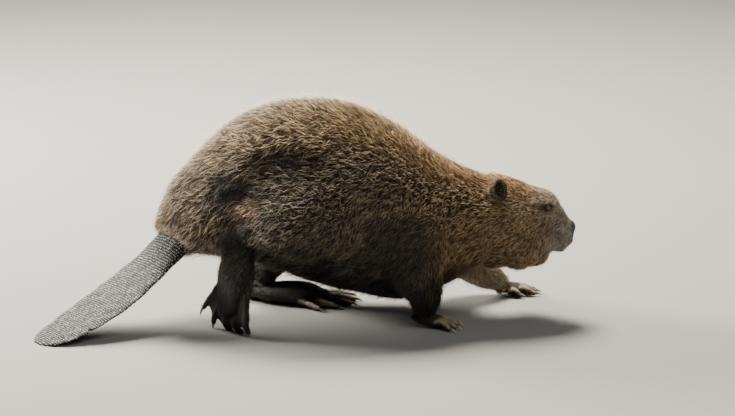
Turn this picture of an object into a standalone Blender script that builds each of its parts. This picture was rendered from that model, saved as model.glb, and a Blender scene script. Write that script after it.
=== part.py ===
"""A life-size beaver in mid-stride, as a museum model in faceted solids.

Frame: metres, +X towards the nose, +Y the animal's left, +Z up, the floor at Z = 0. The body's
plane of symmetry is Y = 0 while the parts are made, and everything is moved at the end so that the
origin lies under the middle of the whole model. The outline is that of the coat's tips. The flesh
is fused from lofts and balls, then parted with thin cuts into the parts that a person would name.
"""

import math
from collections import namedtuple

import bmesh
import bpy
import numpy as np
from mathutils import Matrix, Vector

# ---------------------------------------------------------------- driving dimensions, in metres
GAP = 0.0004  # clear gap between two parts
LEAST_RADIUS = 0.0002  # of a tube's ring, so that its faces never collapse

FUSE_LOSS = 0.0022  # what smoothing takes off the thin ends of the limbs
BODY_VOXEL = 0.0055  # detail kept when the trunk, head and limbs are fused
PAW_VOXEL = 0.0017  # the same for a hand or a foot
BODY_FACES = 1800  # triangles of the fused body before it is parted
FLAT_ANGLE = math.radians(0.3)  # faces that turn by less than this are merged
HAND_FACES = 290
FOOT_FACES = 410

EYE_RADIUS = 0.0066
EYE_CENTRE = Vector((0.4335, 0.0385, 0.2085))
EAR_CENTRE = Vector((0.3450, 0.0600, 0.2445))
EAR_DROP = Vector((0, 0, -0.015))  # the left ear is held lower
EAR_SIZE = Vector((0.0125, 0.0195, 0.0205))  # half depth, half width, half height of the cup
EAR_WALL = 0.0042
NOSE_CENTRE = Vector((0.4745, 0.0, 0.1605))

HIND_FOOT_LENGTH = 0.180  # heel to the tip of the longest toe's flesh
HAND_LENGTH = 0.060
HIND_CLAW = 0.017
HAND_CLAW = 0.014
TAIL_THICKNESS = 0.021

# ---------------------------------------------------------------- stations of the long forms
# x and z are the middle of a ring that stands square to X. pear is the share by which the ring
# is narrower at its top than at its middle and wider at its bottom.
Ring = namedtuple("Ring", "x z half_width half_height pear")

TRUNK = (
    Ring(-0.270, 0.160, 0.018, 0.022, 0.0),  # end of the rump's coat
    Ring(-0.258, 0.166, 0.040, 0.046, 0.0),
    Ring(-0.234, 0.186, 0.062, 0.070, 0.04),
    Ring(-0.198, 0.2045, 0.083, 0.0905, 0.06),
    Ring(-0.160, 0.223, 0.101, 0.112, 0.08),  # rump
    Ring(-0.115, 0.237, 0.118, 0.131, 0.10),  # hips
    Ring(-0.062, 0.2415, 0.130, 0.1485, 0.12),
    Ring(-0.008, 0.235, 0.138, 0.163, 0.14),  # top of the back
    Ring(0.046, 0.226, 0.143, 0.171, 0.14),  # deepest part of the belly
    Ring(0.106, 0.212, 0.142, 0.171, 0.13),
    Ring(0.170, 0.190, 0.130, 0.160, 0.10),  # behind the shoulders
    Ring(0.232, 0.175, 0.108, 0.129, 0.06),  # shoulders
    Ring(0.282, 0.174, 0.090, 0.102, 0.04),
    Ring(0.320, 0.178, 0.078, 0.084, 0.02),  # neck
    Ring(0.352, 0.178, 0.060, 0.066, 0.0),
    Ring(0.372, 0.172, 0.030, 0.034, 0.0),
)

HEAD = (
    Ring(0.290, 0.184, 0.050, 0.052, 0.0),
    Ring(0.312, 0.182, 0.068, 0.072, 0.0),
    Ring(0.345, 0.180, 0.072, 0.080, 0.05),  # behind the ears
    Ring(0.380, 0.173, 0.070, 0.078, 0.10),  # cheeks
    Ring(0.408, 0.173, 0.060, 0.064, 0.10),
    Ring(0.432, 0.173, 0.050, 0.049, 0.05),  # eyes
    Ring(0.452, 0.165, 0.038, 0.041, 0.05),  # muzzle
    Ring(0.469, 0.156, 0.030, 0.033, 0.02),
    Ring(0.480, 0.153, 0.022, 0.024, 0.0),
    Ring(0.486, 0.153, 0.010, 0.012, 0.0),  # tip of the snout
)

TAIL_ROOT = Vector((-0.236, -0.014, 0.137))  # middle of the scaly part's first section
TAIL_REACH = Vector((-0.226, -0.174, -0.1374))  # from there to the tip, as the tail is held
TAIL_SAG = 0.0175  # how far the tail's middle hangs below the straight line
TAIL_PLAN = (  # share of the length, half width
    (0.00, 0.0445),
    (0.10, 0.0495),
    (0.25, 0.0570),
    (0.42, 0.0620),
    (0.58, 0.0615),
    (0.74, 0.0560),
    (0.87, 0.0460),
    (0.95, 0.0335),
    (0.99, 0.0175),
    (1.00, 0.0050),
)

Limb = namedtuple("Limb", "side path radii")  # path from the body outwards
# A foot stands on its toes when it has a lift, in degrees: bend is where along the sole it turns
# level, and the radius of that turn. heel is the sole's place where the turn begins, or its rear.
Foot = namedtuple("Foot", "side heel heading lift bend")

ARM_RIGHT = Limb(
    "right",
    ((0.205, -0.070, 0.190), (0.196, -0.098, 0.118), (0.213, -0.092, 0.064), (0.214, -0.086, 0.022)),
    (0.058, 0.046, 0.034, 0.0165),
)
ARM_LEFT = Limb(
    "left",
    ((0.215, 0.070, 0.180), (0.262, 0.102, 0.102), (0.322, 0.112, 0.050), (0.368, 0.118, 0.021)),
    (0.058, 0.044, 0.031, 0.0165),
)
LEG_RIGHT = Limb(
    "right",
    ((-0.020, -0.085, 0.205), (0.030, -0.112, 0.172), (-0.035, -0.108, 0.176), (-0.104, -0.104, 0.184)),
    (0.060, 0.044, 0.040, 0.030),
)
LEG_LEFT = Limb(
    "left",
    (
        (-0.010, 0.085, 0.200),
        (0.046, 0.118, 0.145),
        (-0.025, 0.108, 0.105),
        (-0.072, 0.096, 0.062),
        (-0.080, 0.094, 0.026),
    ),
    (0.060, 0.048, 0.041, 0.027, 0.020),
)
FOOT_RIGHT = Foot("right", (-0.1410, -0.1220, -0.0040), 48, 103, (0.142, 0.026))
FOOT_LEFT = Foot("left", (-0.093, 0.094, 0.0), -13, 0, (1.0, 0.03))
HAND_HEADING = {"right": -4, "left": 9}
HAUNCH_CENTRE = Vector((0.002, 0.102, 0.196))
HAUNCH_SIZE = Vector((0.106, 0.069, 0.072))
SHOULDER_CENTRE = Vector((0.196, 0.072, 0.172))
SHOULDER_SIZE = Vector((0.066, 0.052, 0.088))

# ---------------------------------------------------------------- colours, as the coat looks
COLOURS = {
    "coat": ((0.118, 0.072, 0.036), 0.85),
    "coat_head": ((0.165, 0.085, 0.034), 0.85),
    "paw_skin": ((0.045, 0.035, 0.028), 0.60),
    "claw": ((0.235, 0.180, 0.130), 0.35),
    "tail_scales": ((0.180, 0.170, 0.165), 0.55),
    "nose_skin": ((0.030, 0.025, 0.022), 0.35),
    "eye": ((0.010, 0.008, 0.006), 0.06),
}


# ---------------------------------------------------------------- mesh helpers
def clear_scene():
    for obj in list(bpy.data.objects):
        bpy.data.objects.remove(obj, do_unlink=True)


def material(slot):
    """The Principled material of a slot, made once."""
    if slot in bpy.data.materials:
        return bpy.data.materials[slot]
    made = bpy.data.materials.new(slot)
    made.use_nodes = True
    shader = made.node_tree.nodes["Principled BSDF"]
    colour, roughness = COLOURS[slot]
    shader.inputs["Base Color"].default_value = (*colour, 1.0)
    shader.inputs["Roughness"].default_value = roughness
    shader.inputs["Metallic"].default_value = 0.0
    return made


def new_object(name, verts, faces):
    mesh = bpy.data.meshes.new(name)
    mesh.from_pydata([tuple(v) for v in verts], [], faces)
    mesh.update()
    obj = bpy.data.objects.new(name, mesh)
    bpy.context.scene.collection.objects.link(obj)
    return obj


def remove(obj):
    bpy.data.objects.remove(obj, do_unlink=True)


def bake(obj):
    """Replaces the object's mesh by what its modifiers make of it."""
    graph = bpy.context.evaluated_depsgraph_get()
    mesh = bpy.data.meshes.new_from_object(obj.evaluated_get(graph))
    mesh.transform(obj.matrix_world)
    obj.modifiers.clear()
    obj.data = mesh
    obj.matrix_world = Matrix.Identity(4)
    return obj


def duplicate(obj, name):
    twin = bpy.data.objects.new(name, obj.data.copy())
    bpy.context.scene.collection.objects.link(twin)
    return twin


def boolean(obj, other, operation):
    """Combines obj with other, which is used up, and keeps the largest body that results."""
    cut = obj.modifiers.new(operation, "BOOLEAN")
    cut.operation = operation
    cut.solver = "EXACT"
    cut.object = other
    bpy.context.view_layer.update()
    bake(obj)
    remove(other)
    return keep_largest(obj)


def keep_largest(obj):
    """Deletes crumbs that a cut leaves beside the main body."""
    mesh = bmesh.new()
    mesh.from_mesh(obj.data)
    unseen, shells = set(mesh.verts), []
    while unseen:
        stack, shell = [unseen.pop()], []
        while stack:
            vert = stack.pop()
            shell.append(vert)
            for edge in vert.link_edges:
                other = edge.other_vert(vert)
                if other in unseen:
                    unseen.remove(other)
                    stack.append(other)
        shells.append(shell)
    for shell in sorted(shells, key=len)[:-1]:
        bmesh.ops.delete(mesh, geom=shell, context="VERTS")
    mesh.to_mesh(obj.data)
    mesh.free()
    return obj


def curve_through(values, count):
    """count values spread evenly along a Catmull-Rom curve through the given ones."""
    known = np.array(values, float)
    padded = np.vstack([2 * known[0] - known[1], known, 2 * known[-1] - known[-2]])
    spread = np.linspace(0, len(known) - 1, count)
    start = np.minimum(spread.astype(int), len(known) - 2)
    t = (spread - start)[:, None]
    a, b, c, d = (padded[start + k] for k in range(4))
    return 0.5 * (
        2 * b + (c - a) * t + (2 * a - 5 * b + 4 * c - d) * t**2 + (3 * b - a - 3 * c + d) * t**3
    )


def tube_faces(rings, around):
    """Triangles between the rings, and a fan at each end round one of the last two points."""
    faces = []
    for ring in range(rings - 1):
        for k in range(around):
            here, after = ring * around + k, ring * around + (k + 1) % around
            faces += [(here, after, after + around), (here, after + around, here + around)]
    first_pole, last_pole = rings * around, rings * around + 1
    last = (rings - 1) * around
    for k in range(around):
        after = (k + 1) % around
        faces.append((first_pole, after, k))
        faces.append((last_pole, last + k, last + after))
    return faces


def loft(name, stations, count=40, around=28):
    """A closed body through rings that stand square to X."""
    rows = curve_through([tuple(s) for s in stations], count)
    verts = []
    for x, z, half_width, half_height, pear in rows:
        for k in range(around):
            angle = 2 * math.pi * k / around
            across = math.cos(angle) * (1 - pear * math.sin(angle))
            verts.append((x, half_width * across, z + half_height * math.sin(angle)))
    verts.append((rows[0][0] - 0.25 * rows[0][2], 0, rows[0][1]))
    verts.append((rows[-1][0] + 0.25 * rows[-1][2], 0, rows[-1][1]))
    return new_object(name, verts, tube_faces(count, around))


def tube(name, path, radii, across=Vector((0, 1, 0)), flatten=1.0, count=None, around=12):
    """A closed body round a path. flatten is its thickness over its width, which lies along across."""
    count = count or 5 * len(path)
    rows = curve_through([(*p, r) for p, r in zip(path, radii)], count)
    points = [Vector(row[:3]) for row in rows]
    verts = []
    for k, point in enumerate(points):
        along = (points[min(k + 1, count - 1)] - points[max(k - 1, 0)]).normalized()
        up = along.cross(across).normalized()
        side = up.cross(along).normalized()
        radius = max(rows[k][3], LEAST_RADIUS)
        for n in range(around):
            angle = 2 * math.pi * n / around
            offset = side * math.cos(angle) + up * math.sin(angle) * flatten
            verts.append(point + offset * radius)
    start, end = (points[0] - points[1]).normalized(), (points[-1] - points[-2]).normalized()
    verts.append(points[0] + start * rows[0][3] * 0.6)
    verts.append(points[-1] + end * rows[-1][3] * 0.6)
    obj = new_object(name, verts, tube_faces(count, around))
    return face_outwards(obj)


def ball(name, centre, size, turn=(0, 0, 0), detail=(24, 16)):
    """An ellipsoid with the given half sizes, turned by degrees about X, Y and Z."""
    mesh = bmesh.new()
    bmesh.ops.create_uvsphere(mesh, u_segments=detail[0], v_segments=detail[1], radius=1)
    rotation = Matrix.Identity(4)
    for axis, angle in zip("XYZ", turn):
        rotation = Matrix.Rotation(math.radians(angle), 4, axis) @ rotation
    place = Matrix.Translation(centre) @ rotation @ Matrix.Diagonal((*size, 1))
    bmesh.ops.transform(mesh, matrix=place, verts=mesh.verts)
    obj = new_object(name, [], [])
    mesh.to_mesh(obj.data)
    mesh.free()
    return obj


def block(name, low, high):
    """A box between two corners."""
    low, high = Vector(low), Vector(high)
    mesh = bmesh.new()
    bmesh.ops.create_cube(mesh, size=1)
    place = Matrix.Translation((low + high) / 2) @ Matrix.Diagonal((*(high - low), 1))
    bmesh.ops.transform(mesh, matrix=place, verts=mesh.verts)
    obj = new_object(name, [], [])
    mesh.to_mesh(obj.data)
    mesh.free()
    return obj


def beyond(name, point, normal, size, margin=0.0):
    """A box of that size, grown by margin, whose near face lies at point, square to normal."""
    turn = Vector((0, 0, 1)).rotation_difference(Vector(normal).normalized()).to_matrix().to_4x4()
    half = size / 2 + margin
    box = block(name, (-half, -half, -margin), (half, half, size))
    box.data.transform(Matrix.Translation(Vector(point)) @ turn)
    return box


def face_outwards(obj):
    mesh = bmesh.new()
    mesh.from_mesh(obj.data)
    bmesh.ops.recalc_face_normals(mesh, faces=mesh.faces)
    if mesh.calc_volume(signed=True) < 0:
        bmesh.ops.reverse_faces(mesh, faces=mesh.faces)
    mesh.to_mesh(obj.data)
    mesh.free()
    return obj


def join(name, objects):
    """One object that holds all these meshes, still as separate shells."""
    mesh = bmesh.new()
    for obj in objects:
        mesh.from_mesh(obj.data)
        remove(obj)
    made = new_object(name, [], [])
    mesh.to_mesh(made.data)
    mesh.free()
    return made


def fuse(name, objects, voxel, faces, smoothing):
    """Grows overlapping shells into one smooth skin of about that many triangles."""
    obj = join(name, objects)
    remesh = obj.modifiers.new("fuse", "REMESH")
    remesh.mode = "VOXEL"
    remesh.voxel_size = voxel
    soften = obj.modifiers.new("soften", "SMOOTH")
    soften.factor = 0.5
    soften.iterations = smoothing
    bake(obj)
    keep_largest(obj)
    thin = obj.modifiers.new("thin", "DECIMATE")
    thin.ratio = faces / (2 * len(obj.data.polygons))
    thin.use_collapse_triangulate = True
    return bake(obj)


def level_on_floor(obj):
    """Cuts a flat at Z = 0 where the part stands."""
    return boolean(obj, block("floor", (-1, -1, -0.2), (1, 1, 0)), "DIFFERENCE")


def finish(obj, slot):
    """Merges faces that lie in one plane, then gives the part its colour."""
    flat = obj.modifiers.new("flat", "DECIMATE")
    flat.decimate_type = "DISSOLVE"
    flat.angle_limit = FLAT_ANGLE
    split = obj.modifiers.new("split", "TRIANGULATE")
    split.quad_method = "BEAUTY"
    bake(obj)
    obj.data.materials.clear()
    obj.data.materials.append(material(slot))
    obj.data.shade_smooth()
    obj.data.set_sharp_from_angle(angle=math.radians(50))
    return obj


def mirrored(vector, side):
    """A point of the left side, put on the side asked for."""
    return Vector((vector[0], vector[1] * (1 if side == "left" else -1), vector[2]))


# ---------------------------------------------------------------- the head's small parts
def eye(side, margin=0.0):
    radius = EYE_RADIUS + margin
    return ball(f"eye_{side}", mirrored(EYE_CENTRE, side), (radius,) * 3, detail=(10, 7))


def ear_turn(side):
    """The cup opens outwards and forwards, and its top leans back and out."""
    return (0, -16, 56 if side == "left" else -56)


def ear(side, margin=0.0):
    """A round cup: an ellipsoid less an inner one that breaks out through its front."""
    forwards = Matrix.Rotation(math.radians(ear_turn(side)[2]), 3, "Z") @ Vector((1, 0, 0))
    centre = mirrored(EAR_CENTRE, side) + (EAR_DROP if side == "left" else Vector())
    room = Vector((margin,) * 3)
    cup = ball(f"ear_{side}", centre, EAR_SIZE + room, ear_turn(side), (12, 8))
    hollow = EAR_SIZE - Vector((0, EAR_WALL, EAR_WALL)) - room
    inner = ball("ear_hollow", centre + forwards * 0.0080, hollow, ear_turn(side), (12, 8))
    return boolean(cup, inner, "DIFFERENCE")


def nose_pad(margin=0.0):
    size = Vector((0.0130, 0.0180, 0.0150)) + Vector((margin,) * 3)
    return ball("nose", NOSE_CENTRE, size, (0, 24, 0), (12, 8))


def nose():
    """The bare pad of the snout, with a nostril on each side."""
    pad = nose_pad()
    for side in (-1, 1):
        centre = NOSE_CENTRE + Vector((0.0050, side * 0.0150, -0.0020))
        nostril = ball("nostril", centre, (0.0050, 0.0060, 0.0032), (0, 30, side * 35), (7, 5))
        pad = boolean(pad, nostril, "DIFFERENCE")
    return pad


def head_forms():
    """Skull, cheeks, brows, lips and chin, to be fused with the trunk."""
    forms = [loft("skull", HEAD, 36, 28)]
    for side in ("left", "right"):
        forms.append(ball("cheek", mirrored((0.383, 0.034, 0.146), side), (0.046, 0.040, 0.055)))
        forms.append(ball("brow", mirrored((0.424, 0.032, 0.2045), side), (0.024, 0.013, 0.013)))
        forms.append(ball("lip", mirrored((0.4585, 0.0140, 0.1365), side), (0.0165, 0.0150, 0.0200)))
        forms.append(ball("jowl", mirrored((0.414, 0.026, 0.136), side), (0.030, 0.027, 0.036)))
    forms.append(ball("chin", (0.404, 0, 0.114), (0.040, 0.042, 0.025), (0, 8, 0)))
    forms.append(ball("throat", (0.345, 0, 0.122), (0.050, 0.050, 0.036), (0, -6, 0)))
    return forms


# ---------------------------------------------------------------- paws
def claw(name, base, heading, length, margin=0.0):
    """A curved claw whose root lies inside the toe and whose tip droops from its heading."""
    ahead = Vector(heading).normalized()
    across = ahead.cross(Vector((0, 0, 1)))
    across = across.normalized() if across.length > 0.2 else Vector((0, 1, 0))
    down = ahead.cross(across).normalized()
    down = down if down.z < 0 else -down
    steps = ((-0.30, 0.02), (0.30, -0.05), (0.68, 0.03), (0.98, 0.17))
    path = [base + (ahead * run + down * fall) * length for run, fall in steps]
    width = 0.15 * length
    radii = [width + margin, 0.92 * width + margin, 0.62 * width + margin, 0.20 * width + margin]
    return tube(name, path, radii, across, 1.15, count=4, around=6)


def stub(limb, cut):
    """The end of a limb, as far as just above the plane that parts the paw from it."""
    point, normal, _ = cut
    piece = limb_tube(limb, around=12)
    return boolean(piece, beyond("cut", point - normal * 0.010, -normal, 0.6), "DIFFERENCE")


def hand(limb, cut):
    """A fore paw flat on the floor: palm, five splayed fingers and their claws."""
    side, wrist = limb.side, limb.path[-1]
    turn = Matrix.Rotation(math.radians(HAND_HEADING[side]), 3, "Z")
    ground = Vector((wrist[0], wrist[1], 0))
    sign = 1 if side == "left" else -1

    def place(ahead, outwards, up):
        return ground + turn @ Vector((ahead, sign * outwards, 0)) + Vector((0, 0, up))

    across = turn @ Vector((0, 1, 0))
    palm = ((-0.008, 0, 0.017), (0.006, 0, 0.0145), (0.020, 0, 0.011), (0.034, 0, 0.008))
    radii = (0.0155, 0.0175, 0.0195, 0.0160)
    forms = [stub(limb, cut), tube("palm", [place(*p) for p in palm], radii, across, 0.66)]
    claws = []
    # outwards place at the knuckle, splay in degrees, length as a share, thickness
    fingers = (
        (-0.0170, -34, 0.55, 0.0046),
        (-0.0095, -15, 0.92, 0.0053),
        (-0.0005, -1, 1.00, 0.0055),
        (0.0090, 13, 0.94, 0.0053),
        (0.0165, 30, 0.74, 0.0049),
    )
    reach = HAND_LENGTH - 0.026
    for number, (outwards, splay, share, radius) in enumerate(fingers, 1):
        direction = turn @ Matrix.Rotation(math.radians(sign * splay), 3, "Z") @ Vector((1, 0, 0))
        knuckle = place(0.024 if number > 1 else 0.010, outwards, 0.0105)
        lifts = (0.0, 0.0030, 0.0005, -0.0052)
        path = [
            knuckle + direction * reach * share * step + Vector((0, 0, lift))
            for step, lift in zip((0.0, 0.35, 0.70, 1.0), lifts)
        ]
        radii = (radius * 1.1, radius, radius * 0.98, radius * 0.8)
        forms.append(tube("finger", path, radii, around=8))
        tip = path[-1] + Vector((0, 0, 0.0014))
        aim = direction + Vector((0, 0, -0.14))
        claws.append((f"hand_{side}_claw_{number}", tip, aim, HAND_CLAW * (0.75 + 0.25 * share)))
    paw = fuse(f"hand_{side}", forms, PAW_VOXEL, HAND_FACES, 3)
    return level_on_floor(paw), claws


def sole_at(foot, along):
    """How far forward and how high the sole lies at a length from the heel, and its slope."""
    steep, (start, radius) = math.radians(foot.lift), foot.bend
    turned = start + radius * steep
    if not foot.lift:
        return along, 0.0, 0.0
    if along <= start:
        rise = radius * (1 - math.cos(steep)) + (start - along) * math.sin(steep)
        return (along - start) * math.cos(steep), rise, steep
    if along <= turned:
        slope = steep - (along - start) / radius
        return radius * (math.sin(steep) - math.sin(slope)), radius * (1 - math.cos(slope)), slope
    return radius * math.sin(steep) + along - turned, 0.0, 0.0


def foot_frame(foot):
    """A map from the flat foot (along, outwards, above the sole) to its place on the animal."""
    turn = Matrix.Rotation(math.radians(foot.heading), 3, "Z")
    ahead, sign = turn @ Vector((1, 0, 0)), 1 if foot.side == "left" else -1
    outwards = turn @ Vector((0, sign, 0))

    def place(along, out, above):
        run, rise, slope = sole_at(foot, along)
        forward, up = run + above * math.sin(slope), rise + above * math.cos(slope)
        return Vector(foot.heel) + ahead * forward + outwards * out + Vector((0, 0, up))

    return place, outwards


def foot_column(foot, margin=0.0):
    """Heel and instep, which the body shares with the foot so that both meet at the cut."""
    place, outwards = foot_frame(foot)
    spine = ((0.000, 0.017), (0.030, 0.0150), (0.062, 0.0160), (0.094, 0.0150), (0.120, 0.0110))
    radii = [r + margin for r in (0.0265, 0.0355, 0.0390, 0.0395, 0.0300)]
    points = [place(along, 0, above) for along, above in spine]
    heel = [place(-0.016, 0, 0.0170), place(0.016, 0, 0.0205)]
    return [
        tube("instep", points, radii, outwards, 0.52, around=14),
        tube("heel", heel, (0.0175 + margin, 0.0215 + margin), outwards, 1.0),
    ]


def hind_foot(foot, limb, cut):
    """A webbed hind foot: heel, instep, five long toes, webs and claws."""
    place, outwards = foot_frame(foot)
    length = HIND_FOOT_LENGTH
    forms = foot_column(foot) + ([] if foot.lift else [stub(limb, cut)])
    claws, tips = [], []
    # outwards place at the root and at the tip, where the toe starts, length share, thickness
    toes = (
        (-0.0285, -0.0560, 0.080, 0.74, 0.0054),
        (-0.0155, -0.0325, 0.082, 0.89, 0.0062),
        (-0.0010, -0.0035, 0.084, 0.99, 0.0068),
        (0.0135, 0.0245, 0.084, 1.00, 0.0070),
        (0.0275, 0.0520, 0.080, 0.91, 0.0066),
    )
    for number, (root_out, tip_out, start, share, radius) in enumerate(toes, 1):
        end = share * length
        steps = (0.0, 0.30, 0.58, 0.82, 1.0)
        lifts = (0.0125, 0.0105, 0.0085, 0.0068, 0.0046)
        path = [
            place(start + (end - start) * t, root_out + (tip_out - root_out) * t**0.9, lift)
            for t, lift in zip(steps, lifts)
        ]
        radii = (radius * 1.1, radius * 1.05, radius * 0.95, radius * 0.95, radius * 0.72)
        forms.append(tube("toe", path, radii, outwards, 0.92, around=8))
        tips.append([
            place(start + (end - start) * t, root_out + (tip_out - root_out) * t**0.9, 0.0052)
            for t in np.linspace(0, 0.9, 7)
        ])
        aim = path[-1] - path[-2]
        claws.append((f"foot_{foot.side}_claw_{number}", path[-1], aim.normalized(), HIND_CLAW))
    for inner, outer in zip(tips, tips[1:]):
        forms.append(web(inner, outer))
    paw = fuse(f"foot_{foot.side}", forms, PAW_VOXEL, FOOT_FACES, 3)
    return level_on_floor(paw), claws


def web(inner, outer, thickness=0.0036):
    """The thin skin between two toes, with a hollow front edge."""
    rows = len(inner)
    verts, faces = [], []
    for row, (a, b) in enumerate(zip(inner, outer)):
        after = min(row + 1, rows - 1)
        along = inner[after] - inner[after - 1]
        normal = along.cross(b - a).normalized() * thickness / 2
        middle = (a + b) / 2
        if row == rows - 1:
            middle = middle + (inner[row - 1] + outer[row - 1] - a - b) * 0.35
        for point in (a, middle, b):
            verts += [point - normal, point + normal]
    for row in range(rows - 1):
        here, after = row * 6, row * 6 + 6
        for k in (0, 2):
            faces.append((here + k, here + k + 2, after + k + 2, after + k))
            faces.append((here + k + 1, after + k + 1, after + k + 3, here + k + 3))
        faces.append((here, after, after + 1, here + 1))
        faces.append((here + 4, here + 5, after + 5, after + 4))
    for end, flip in ((0, False), ((rows - 1) * 6, True)):
        for k in (0, 2):
            face = (end + k, end + k + 1, end + k + 3, end + k + 2)
            faces.append(face[::-1] if flip else face)
    return face_outwards(new_object("web", verts, faces))


# ---------------------------------------------------------------- tail
def tail_point(t):
    """The tail's centre line: t runs from 0 at the coat's edge to 1 at the tip."""
    sag = Vector((0, 0, -4 * TAIL_SAG * t * (1 - t)))
    return TAIL_ROOT + TAIL_REACH * t + sag


def tail_frame(t):
    """The tail's direction, its level width axis, and its upper side's normal."""
    along = (tail_point(min(t + 0.01, 1.02)) - tail_point(t - 0.01)).normalized()
    side = Vector((0, 0, 1)).cross(along).normalized()
    return along, side, along.cross(side).normalized()


def tail_paddle():
    """The flat scaly tail, oval at its root and thin towards its edges and tip."""
    count, around = 17, 14
    # Sections stand closer together towards the round tip.
    shares = [math.sin(k / (count - 1) * math.pi / 2) for k in range(count)]
    known = np.array(TAIL_PLAN)
    verts = []
    for t in shares:
        half = float(np.interp(t, known[:, 0], known[:, 1]))
        oval = max(0.0, 1 - t / 0.22) ** 1.5
        thick = 0.5 * TAIL_THICKNESS * (1 - 0.62 * t) * min(1.0, half / 0.03 + 0.15) + 0.0125 * oval
        _, side, up = tail_frame(t)
        centre = tail_point(t)
        for k in range(around):
            angle = 2 * math.pi * k / around
            flat, high = math.cos(angle), math.sin(angle)
            high = math.copysign(abs(high) ** 0.85, high)
            verts.append(centre + side * half * flat + up * thick * high)
    verts.append(tail_point(0) - tail_frame(0)[0] * 0.004)
    verts.append(tail_point(1) + tail_frame(1)[0] * 0.0015)
    paddle = face_outwards(new_object("tail_paddle", verts, tube_faces(count, around)))
    _, side, _ = tail_frame(0.72)
    edge = tail_point(0.735) + side * 0.0570
    nick = ball("nick", edge, (0.0030, 0.0075, 0.02), (0, 0, 38), (10, 6))
    paddle = boolean(paddle, nick, "DIFFERENCE")
    return level_on_floor(paddle)


# ---------------------------------------------------------------- flesh
def limb_tube(limb, margin=0.0, around=16):
    path = [Vector(p) for p in limb.path]
    return tube("limb", path, [r + margin for r in limb.radii], around=around)


def body_forms():
    """Everything of the coat's outline but the paws and the tail's paddle."""
    forms = [loft("torso", TRUNK, 52, 36), *head_forms()]
    for limb in (ARM_RIGHT, ARM_LEFT, LEG_RIGHT, LEG_LEFT):
        forms.append(limb_tube(limb, margin=FUSE_LOSS))
    forms += foot_column(FOOT_RIGHT, 2 * FUSE_LOSS) + foot_column(FOOT_LEFT, FUSE_LOSS)
    for side in ("left", "right"):
        forms.append(ball("haunch", mirrored(HAUNCH_CENTRE, side), HAUNCH_SIZE, (0, 6, 0)))
        forms.append(ball("shoulder", mirrored(SHOULDER_CENTRE, side), SHOULDER_SIZE, (0, -8, 0)))
    root = tail_point(0)
    along = tail_frame(0)[0]
    inside = Vector((-0.175, 0.0, 0.182))
    collar = [inside, root - along * 0.028, root + along * 0.012]
    forms.append(tube("tail_collar", collar, (0.072, 0.052, 0.040), tail_frame(0)[1], 0.86, around=20))
    return forms


# ---------------------------------------------------------------- parting
# Each cut: a point, the direction of the paw from it, and the size of the box that is cleared.
WRIST_RIGHT = (Vector((0.214, -0.086, 0.024)), Vector((0.10, 0.0, -1.0)).normalized(), 0.15)
WRIST_LEFT = (Vector((0.366, 0.118, 0.022)), Vector((0.85, 0.06, -0.52)).normalized(), 0.15)
ANKLE_RIGHT = (Vector((-0.130, -0.108, 0.100)), Vector((0.0, 0.0, -1.0)), 0.11)
ANKLE_LEFT = (Vector((-0.050, 0.090, 0.041)), Vector((0.0, 0.0, -1.0)), 0.17)


# Where the legs are parted from the trunk: the middle, half sizes and tilt of an oval as seen
# from the flank, and how near to the plane of symmetry the part reaches.
Oval = namedtuple("Oval", "side x z length height tilt inner")
OVALS = (
    ("thigh_left", Oval("left", 0.002, 0.195, 0.107, 0.075, 0, 0.070)),
    ("thigh_right", Oval("right", 0.002, 0.195, 0.107, 0.075, 0, 0.070)),
    ("shank_left", Oval("left", -0.040, 0.078, 0.090, 0.055, 43, 0.052)),
    ("foreleg_left", Oval("left", 0.284, 0.095, 0.150, 0.062, -46, 0.050)),
    ("foreleg_right", Oval("right", 0.205, 0.112, 0.110, 0.062, -86, 0.046)),
)


def carve(body, name, region, slot, parts):
    """Takes the part of body inside region(0), and clears region(GAP) from what is left."""
    part = duplicate(body, name)
    boolean(part, region(0.0), "INTERSECT")
    boolean(body, region(GAP), "DIFFERENCE")
    parts.append(finish(part, slot))


def pocket(flesh, pieces):
    """Clears room in the flesh for pieces that are set into it."""
    for piece in pieces:
        boolean(flesh, piece, "DIFFERENCE")
    return flesh


def oval_region(oval):
    """A plug with an oval outline as seen from the flank, which reaches in as far as inner."""
    around, outer = 22, 0.250
    sign = 1 if oval.side == "left" else -1
    turn = math.radians(oval.tilt)

    def region(margin):
        verts = []
        for depth in (oval.inner - margin, outer):
            for k in range(around):
                angle = 2 * math.pi * k / around
                along = (oval.length + margin) * math.cos(angle)
                over = (oval.height + margin) * math.sin(angle)
                x = oval.x + along * math.cos(turn) - over * math.sin(turn)
                z = oval.z + along * math.sin(turn) + over * math.cos(turn)
                verts.append((x, sign * depth, z))
        verts.append((oval.x, sign * (oval.inner - margin), oval.z))
        verts.append((oval.x, sign * outer, oval.z))
        return face_outwards(new_object("cut", verts, tube_faces(2, around)))

    return region


def hock_region(margin):
    """A sleeve round the heel of the right foot, which the animal has raised."""
    place, outwards = foot_frame(FOOT_RIGHT)
    path = [place(along, 0, 0.018) for along in (-0.042, 0.030, 0.100)]
    return tube("cut", path, [0.048 + margin] * 3, outwards, 0.72, count=3, around=12)


def plane_region(point, normal, size):
    def region(margin):
        return beyond("cut", point, normal, size, margin)

    return region


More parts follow.
